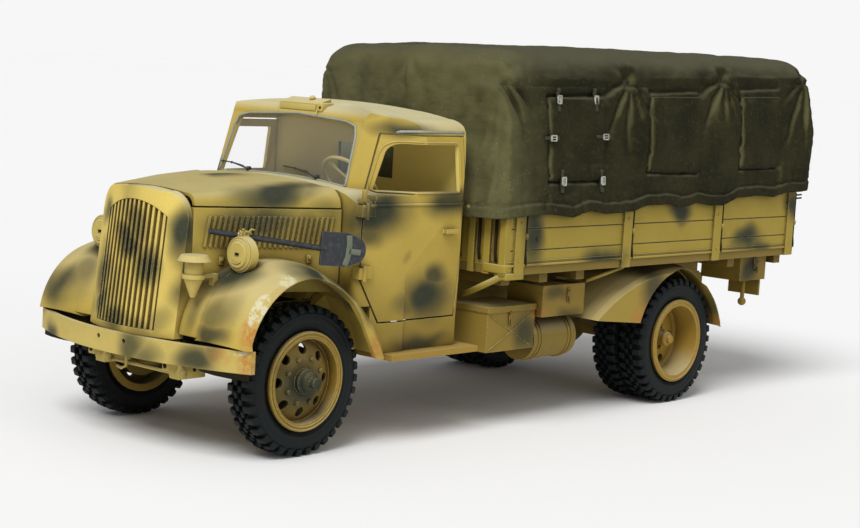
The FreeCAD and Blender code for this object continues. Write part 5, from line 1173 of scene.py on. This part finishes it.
# ------------------------------------------------------------------ lamps and the shovel
lamp_skin = surface("headlights")
for side_name, side in LEFT_RIGHT:
    y0, z0 = side * 19.8, 37.85
    rims, slot_hole = Shape(), Shape()
    for radius, thick in ((2.95, 0.17), (2.45, 0.12)):
        ring = [touch(lamp_skin, (AHEAD, y0 + dy, z0 + dz), (-1, 0, 0)) for dy, dz in ring_points(radius, 40)]
        rims.tube([f[0] + Vector((0.02, 0, 0)) for f in ring if f], thick, sides=6, ends=False)
    face = touch(lamp_skin, (AHEAD, y0, z0), (-1, 0, 0))[0]
    for a, b, c, d in ((-0.85, 0.85, 0.34, 0.52), (-0.85, 0.85, -0.52, -0.34), (-0.85, -0.65, -0.4, 0.4),
                       (0.65, 0.85, -0.4, 0.4)):
        rims.box((face.x - 0.1, face.x + 0.16), (y0 + a, y0 + b), (z0 + c, z0 + d), bevel=0.05)
    hook = [touch(lamp_skin, (AHEAD, y0 + 1.75 * math.sin(a), z0 - 1.75 * math.cos(a)), (-1, 0, 0))
            for a in (math.radians(-42 + 84 * k / 8) for k in range(9))]
    rims.tube([f[0] + Vector((0.12, 0, 0)) for f in hook if f], 0.12, sides=6)
    rims.put("lamp_rims_%s" % side_name, LAMPS, "truck")
    # a dark block as painted shade in the lamp's slot
    slot_hole.box((face.x - 0.1, face.x + 0.08), (y0 - 0.66, y0 + 0.66), (z0 - 0.35, z0 + 0.35), bevel=0.03)
    slot_hole.put("lamp_slot_%s" % side_name, DARK_PARTS_AND_SHADE, "truck")
    stalk = Shape().tube([(face.x - 1.2, y0, z0 - 3.0), (face.x - 1.3, y0, z0 - 4.0), (face.x - 1.5, y0, z0 - 4.9),
                          (face.x - 2.2, y0, z0 - 6.2)], (0.8, 0.62, 0.55, 0.8), sides=14, flat=0.8)
    stalk.put("lamp_stalk_%s" % side_name, STRAP_GREEN, "truck")

shovel_skin = surface("shovel")


def shaft_at(x):
    """The middle of the shovel's handle at x."""
    hits = [touch(shovel_skin, (x, 60, 36 + 0.04 * k), (0, -1, 0)) for k in range(240)]
    zs = [f[0].z for f in hits if f]
    ys = [f[0].y for f in hits if f]
    return Vector((x, max(ys) - 0.55, (min(zs) + max(zs)) / 2))


tie = Shape()
a, b = shaft_at(121.2), shaft_at(123.2)
run = (b - a).normalized()
side_v = run.orthogonal().normalized()
other_v = run.cross(side_v)
coil = []
for k in range(121):
    t = k / 120
    angle = 2 * math.pi * 5 * t
    coil.append(a.lerp(b, t) + (side_v * math.cos(angle) + other_v * math.sin(angle)) * (0.78 + 0.06 * math.sin(9 * t)))
tie.tube(coil, 0.2, sides=6)
knot = a.lerp(b, 0.5) + Vector((0.3, 0.9, 0.5))
for turn_k in range(3):
    ring = []
    for k in range(15):
        angle = 2 * math.pi * k / 14
        ring.append(knot + Vector((0.55 * math.cos(angle), 0.3 * math.sin(angle + turn_k), 0.5 * math.sin(angle)))
                    + Vector((0.12, 0.1, 0.0)) * turn_k)
    tie.tube(ring, 0.19, sides=6)
for tail in (((0.4, 0.2, 0.4), (1.0, 0.5, 1.0), (1.5, 0.7, 0.9)),
             ((-0.4, 0.2, 0.3), (-1.1, 0.4, 0.9), (-1.7, 0.6, 0.7)),
             ((0.3, 0.3, -0.3), (0.5, 1.0, -1.0), (0.6, 1.6, -1.6)),
             ((-0.1, 0.3, -0.4), (-0.3, 0.9, -1.1), (0.0, 1.4, -1.8))):
    tie.tube([knot] + [knot + Vector(p) for p in tail], 0.17, sides=6)
tie.put("rope_tie", ROPE, "truck")

# the straps' places are given as seen along this line, on a plane 24.5 from the middle
SIGHT = Vector((-0.714, -0.692, -0.107))
straps = Shape()
for spots in (((101.07, 40.9), (100.9, 39.0), (101.3, 36.6), (102.5, 34.3)),
              ((101.0, 37.9), (99.4, 37.7), (97.9, 37.5))):
    line = []
    for p in spread_out(spots, 16):
        found = touch(shovel_skin, Vector((p.x, 24.5, p.y)) - SIGHT * 60, SIGHT)
        if found:
            line.append(found)
    if len(line) > 3:
        band(straps, line, 0.55, 0.22)
straps.put("shovel_straps", STRAP_GREEN, "truck")

# ------------------------------------------------------------------ bonnet catches
for side_name, side in LEFT_RIGHT:
    skin_side = surface("bonnet_side_%s" % side_name)
    form = Shape()
    for x, z in ((107.6, 36.4), (124.0, 36.0)):
        found = touch(skin_side, (x, side * FAR_OUT, z), (0, -side, 0))
        if found:
            turn = surface_turn(found[0], found[1], side)
            form.box((-0.5, 0.5), (-0.15, 0.35), (-0.9, 0.7), turn=turn, bevel=0.1)
            form.box((-0.28, 0.28), (0.2, 0.75), (-0.2, 0.45), turn=turn, bevel=0.1)
    form.put("bonnet_catches_%s" % side_name, coat_of("bonnet_side_left"), "truck")

# ------------------------------------------------------------------ sheet metal round the nose, and painted shade behind the bumper
for side_name, side in LEFT_RIGHT:
    fender_skin = surface("front_fender_%s" % side_name)
    outer_y, wall, across = 17.8, 0.5, 10
    loops = []
    for k in range(31):
        angle = math.radians(11.5 + 54 * k / 30)
        spoke = Vector((math.cos(angle), 0, math.sin(angle)))
        found = touch(fender_skin, Vector((WHEELBASE, side * outer_y, 18.0)) + spoke * 40, -spoke)
        if not found:
            continue
        crest = found[0]
        inner_y = max(12.32, 12.75 + (WHEELBASE + 15.5 - crest.x) * 0.375)
        outside, inside = [], []
        for j in range(across + 1):
            t = j / across
            place = Vector((crest.x, side * (outer_y + (inner_y - outer_y) * t),
                            crest.z)) + spoke * (0.05 - 0.3 * t ** 3)
            outside.append(place)
            inside.append(place - spoke * wall)
        loops.append(outside + inside[::-1])
    many = len(loops[0])
    verts = [v for ring in loops for v in ring]
    faces = grid_faces(len(loops), many, wrap=True) + [tuple(range(many)), tuple(range((len(loops) - 1) * many,
                                                                                      len(loops) * many))]
    piece = Shape().add(verts, faces).put("fender_apron_%s" % side_name, coat_of("front_fender_left"), "truck")
    angle_smooth(piece, 50)
    # a dark strip behind the bumper, as painted shade in the gap under the fenders
    rows = []
    for k in range(21):
        y = side * (11.6 + 17.9 * k / 20)
        found = touch(fender_skin, (170, y, 23.4), (-1, 0, 0))
        face_x = (found[0].x if found else 131.7) - 1.15
        rows += [Vector((face_x - back, y, z)) for back, z in ((0.0, 16.4), (0.0, 22.9), (0.5, 22.9), (0.5, 16.4))]
    faces = grid_faces(21, 4, wrap=True) + [tuple(range(4)), tuple(range(80, 84))]
    Shape().add(rows, faces).put("painted_shade_behind_bumper_%s" % side_name, DARK_PARTS_AND_SHADE, "truck")

# ------------------------------------------------------------------ tail lamp
floor_skin = surface("bed_floor")
back = touch(floor_skin, (-90, 25.0, 33.4), (1, 0, 0))[0].x
lamp = Shape().box((back - 0.7, back + 0.1), (23.2, 26.8), (29.6, 33.8), bevel=0.2)
lamp.lathe([(0.0, 2.0), (0.9, 2.0), (1.25, 1.75), (1.35, 1.5), (1.35, 0.0)], (back - 0.5, 25.0, 31.3), axis="X",
           steps=28,
           sign=-1)
lamp.tube([(back - 0.2, 25.0, 33.4), (back - 0.2, 25.0, 34.3)], 0.35, sides=10)
lamp.put("tail_lamp", LAMPS, "truck")
LENS = two_tone("red_lens", (1.5, 3, 0.6), rgba(0.26, 0.012, 0.010), rgba(0.36, 0.03, 0.02), 0.3, Coat_Weight=0.4)
Shape().lathe([(0.0, 0.35), (0.5, 0.3), (0.85, 0.1), (0.95, -0.1)], (back - 2.5, 25.0, 31.3), axis="X", steps=24,
              sign=-1).put("tail_lens", LENS, "truck")

# ------------------------------------------------------------------ wheels
HUB_CAP = ((0.0, 2.0), (0.85, 2.0), (1.1, 1.8), (1.2, 0.75), (1.75, 0.55), (1.95, 0.3), (2.05, -0.2))
NUT = ((0.0, 0.62), (0.3, 0.62), (0.46, 0.48), (0.5, 0.0), (0.5, -0.2))
for side_name, side in LEFT_RIGHT:
    for node, body, x0, circle, many, cap in (("rim_front_%s", "wheel_front_%s", WHEELBASE, 4.35, 8, 1.0),
                                              ("rims_rear_%s", "wheels_rear_%s", 0.0, 2.95, 10, 0.62)):
        rim_skin = surface(node % side_name)
        form = Shape()
        for k in range(many):
            angle = 2 * math.pi * (k + 0.5) / many
            x, z = x0 + circle * math.cos(angle), TYRE_R + circle * math.sin(angle)
            found = touch(rim_skin, (x, side * FAR_OUT, z), (0, -side, 0))
            form.lathe(NUT, (x, found[0].y, z), axis="Y", steps=6, sign=side)
        face = touch(rim_skin, (x0 + 0.3, side * FAR_OUT, TYRE_R + 0.3), (0, -side, 0))[0]
        form.lathe([(r * (1.0 if cap == 1.0 else 0.85), h * cap) for r, h in HUB_CAP], (x0, face.y, TYRE_R), axis="Y",
                   steps=36, sign=side)
        for radius, thick in ((9.15, 0.2), (8.55, 0.17), (7.9, 0.15)) if x0 else ((8.9, 0.16),):
            ring = [touch(rim_skin, (x0 + dx, side * FAR_OUT, TYRE_R + dz), (0, -side, 0)) for dx,
                    dz in ring_points(radius, 72)]
            form.tube([f[0] for f in ring if f], thick, sides=6, ends=False)
        piece = form.put("hub_%s_%s" % ("front" if x0 else "rear", side_name), RIMS, body % side_name)
        angle_smooth(piece, 40)

# ------------------------------------------------------------------ bed
POST_X = (BED_FRONT - 4.9, 25.4, -9.6, BED_BACK + 1.1)
for side_name, side in LEFT_RIGHT:
    rods, clasps, trim = Shape(), Shape(), Shape()
    out = side * (BED_HALF + 0.22)
    for k, x in enumerate(POST_X):
        top = 45.2 if k < 2 else 47.8
        rods.tube([(x - 0.5, out, top), (x - 0.5, out, 37.4), (x - 0.85, out, 35.6), (x - 0.85, out, 34.6)], 0.26,
                  sides=8)
        clasps.tube([(x - 0.5, out + side * 0.12, 40.0), (x - 0.5, out + side * 0.12, 41.2)], 0.36, sides=12)
        ball(clasps, (x - 0.5, out + side * 0.2, 40.6), 0.42)
        for z in (35.6, 43.4):
            ball(trim, (x + 1.5, side * (BED_HALF + 0.5), z), 0.26)
    for proud, low_z, high_z in ((0.34, 34.5, 34.95), (0.16, 35.4, 35.6)):
        trim.box((BED_BACK + 0.2, BED_FRONT - 0.2), sorted((side * (BED_HALF - 0.2), side * (BED_HALF + proud))),
                 (low_z, high_z), bevel=0.08)
    ball(trim, (57.6, side * BED_HALF, 39.9), 0.42)
    # corner pieces and braces under the front end
    trim.box((BED_FRONT - 5.2, BED_FRONT + 0.5), sorted((side * 32.6, side * (BED_HALF + 0.45))), (31.9, 33.3),
             bevel=0.2)
    trim.box((BED_FRONT - 1.6, BED_FRONT + 0.9), sorted((side * 29.8, side * (BED_HALF + 0.2))), (33.2, 35.0),
             bevel=0.2)
    for start, end in (((BED_FRONT + 0.2, side * 34.0, 32.4), (BED_FRONT + 0.2, side * 24.6, 27.7)),
                       ((25.6, side * 34.2, 32.7), (34.6, side * 31.0, 29.6))):
        trim.tube([start, end], 0.75, sides=4, flat=0.6)
    rods.put("bed_rods_%s" % side_name, DARK_PARTS_AND_SHADE, "truck")
    clasps.put("bed_clasps_%s" % side_name, BED, "truck")
    trim.put("bed_trim_%s" % side_name, BED, "truck")
    form = Shape()
    for inward in (2.9, 7.2, 12.4):
        y = side * (BED_HALF - inward)
        form.tube([(BED_FRONT + 0.35, y, 44.8), (BED_FRONT + 0.35, y, 37.0), (BED_FRONT + 0.35, y + side * 0.3, 35.4)],
                  0.28,
                  sides=8)
    for z in (46.4, 47.2):
        form.tube([(BED_BACK + 0.4, side * 34.4, z), (BED_BACK - 1.4, side * 34.9, z),
                   (BED_BACK - 2.6, side * 35.2, z + 0.1)],
                  0.2, sides=8)
    form.put("bed_hooks_%s" % side_name, DARK_PARTS_AND_SHADE, "truck")

# ------------------------------------------------------------------ boxes and tank
for side_name, side in LEFT_RIGHT:
    form = Shape()
    hasps = [("toolbox_%s" % side_name, 58.3, 24.4), ("rear_locker_%s" % side_name, -33.4, 31.2)]
    if side > 0:
        hasps.append(("upper_box", 41.2, 28.4))
    for node, x, z in hasps:
        found = touch(surface(node), (x, side * FAR_OUT, z - 0.8), (0, -side, 0))
        if not found:
            continue
        y = found[0].y
        form.box((x - 0.4, x + 0.4), sorted((y - side * 0.2, y + side * 0.3)), (z - 2.6, z + 0.2), bevel=0.08)
        form.tube([(x - 0.45, y + side * 0.35, z - 0.5), (x, y + side * 0.6, z - 0.3),
                   (x + 0.45, y + side * 0.35, z - 0.5)],
                  0.15, sides=6)
        form.tube([(x, y + side * 0.4, z - 1.6), (x + 0.1, y + side * 0.7, z - 2.4),
                   (x - 0.2, y + side * 0.5, z - 3.0)], 0.17,
                  sides=6)
    form.put("hasps_%s" % side_name, BOXES, "truck")
bands = Shape()
low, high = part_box("air_tank")
tank_x = span("air_tank")[0]
tank_z, tank_r = (low.z + high.z) / 2 / MM, (high.z - low.z) / 2 / MM
tank_y = high.y / MM - tank_r
for x in (tank_x[0] + 1.6, tank_x[0] + 2.6, tank_x[1] - 2.6, tank_x[1] - 1.6):
    bands.tube([(x, tank_y + dy, tank_z + dz) for dy, dz in ring_points(tank_r + 0.05, 48)], 0.2, sides=6, ends=False)
bands.put("tank_bands", BOXES, "truck")

# ------------------------------------------------------------------ under the bumper
form = Shape()
for side in (1, -1):
    y = sorted((side * 9.4, side * 12.2))
    form.box((124.6, 131.2), y, (13.9, 17.5), bevel=0.25)
    form.box((131.0, 133.4), sorted((side * 9.9, side * 11.7)), (15.6, 17.9), bevel=0.25)
    form.lathe([(0.0, 1.75), (0.75, 1.75), (0.8, 1.6), (0.8, -1.6), (0.75, -1.75), (0.0, -1.75)],
               (130.2, side * 10.8, 14.9),
               axis="Y", steps=20)
form.tube([(129.6, -9.6, 14.6), (129.6, 9.6, 14.6)], 0.34, sides=10)
form.tube([(131.0, -3.2, 17.2), (131.0, -3.2, 14.2), (131.0, -4.6, 13.6), (131.0, -5.8, 13.9)], 0.3, sides=8)
form.put("spring_hangers", coat_of("bumper"), "truck")
# dark discs as painted shade in the hangers' holes
holes = Shape()
for side in (1, -1):
    holes.lathe([(0.0, 0.04), (0.5, 0.04), (0.55, -0.3)], (133.4, side * 10.8, 16.6), axis="X", steps=16)
    holes.lathe([(0.0, 0.05), (0.42, 0.05), (0.45, -0.3)], (127.4, side * 12.2, 15.6), axis="Y", steps=16, sign=side)
holes.put("hanger_holes", DARK_PARTS_AND_SHADE, "truck")


# ------------------------------------------------------------------ seat
def cushion(name, centre, half, crown, channels, up):
    """A crowned pad with sewn channels; up is the axis of its open face."""
    across, deep = [k for k in range(3) if k != up]
    counts = {across: 12, deep: 56, up: 8}
    form = Shape()
    for axis in range(3):
        others = [k for k in range(3) if k != axis]
        rows, cols = counts[others[0]], counts[others[1]]
        for sign in (-1, 1):
            verts = []
            for i in range(rows + 1):
                for j in range(cols + 1):
                    p = [0.0, 0.0, 0.0]
                    p[axis], p[others[0]], p[others[1]] = sign, -1 + 2 * i / rows, -1 + 2 * j / cols
                    norm = sum(abs(c) ** 7 for c in p) ** (1 / 7)
                    p = [c / norm for c in p]
                    pull = 1 - 0.035 * (1 - p[up] ** 2)
                    q = [c * h for c, h in zip(p, half)]
                    q[across] *= pull
                    q[deep] *= pull
                    if p[up] > 0:
                        q[up] += crown * (1 - p[across] ** 2) * (1 - p[deep] ** 6)
                        seam = min(abs(p[deep] - c) for c in channels)
                        q[up] -= 0.35 * math.exp(-(seam * half[deep] / 0.35) ** 2)
                    verts.append(Vector(q) + Vector(centre))
            form.add(verts, grid_faces(rows + 1, cols + 1))
    piece = form.put(name, HIDE, "truck", slot="seat_cover")
    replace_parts(piece, "seat")
    return piece


(back_x, front_x), (_, half_y), (foot, crest) = span("seat")
lines = [-1 + 2 * k / 8 for k in range(1, 8)]
cushion("seat_cushion", ((back_x + front_x) / 2 + 0.6, 0, foot + 4.0),
        ((front_x - back_x) / 2 - 0.7, half_y - 0.4, 3.7), 0.5,
        lines, 2)
cushion("seat_backrest", (back_x + 1.5, 0, (foot + crest) / 2 + 3.0), (1.3, half_y - 0.4, (crest - foot) / 2 - 3.2),
        0.4,
        lines, 0)
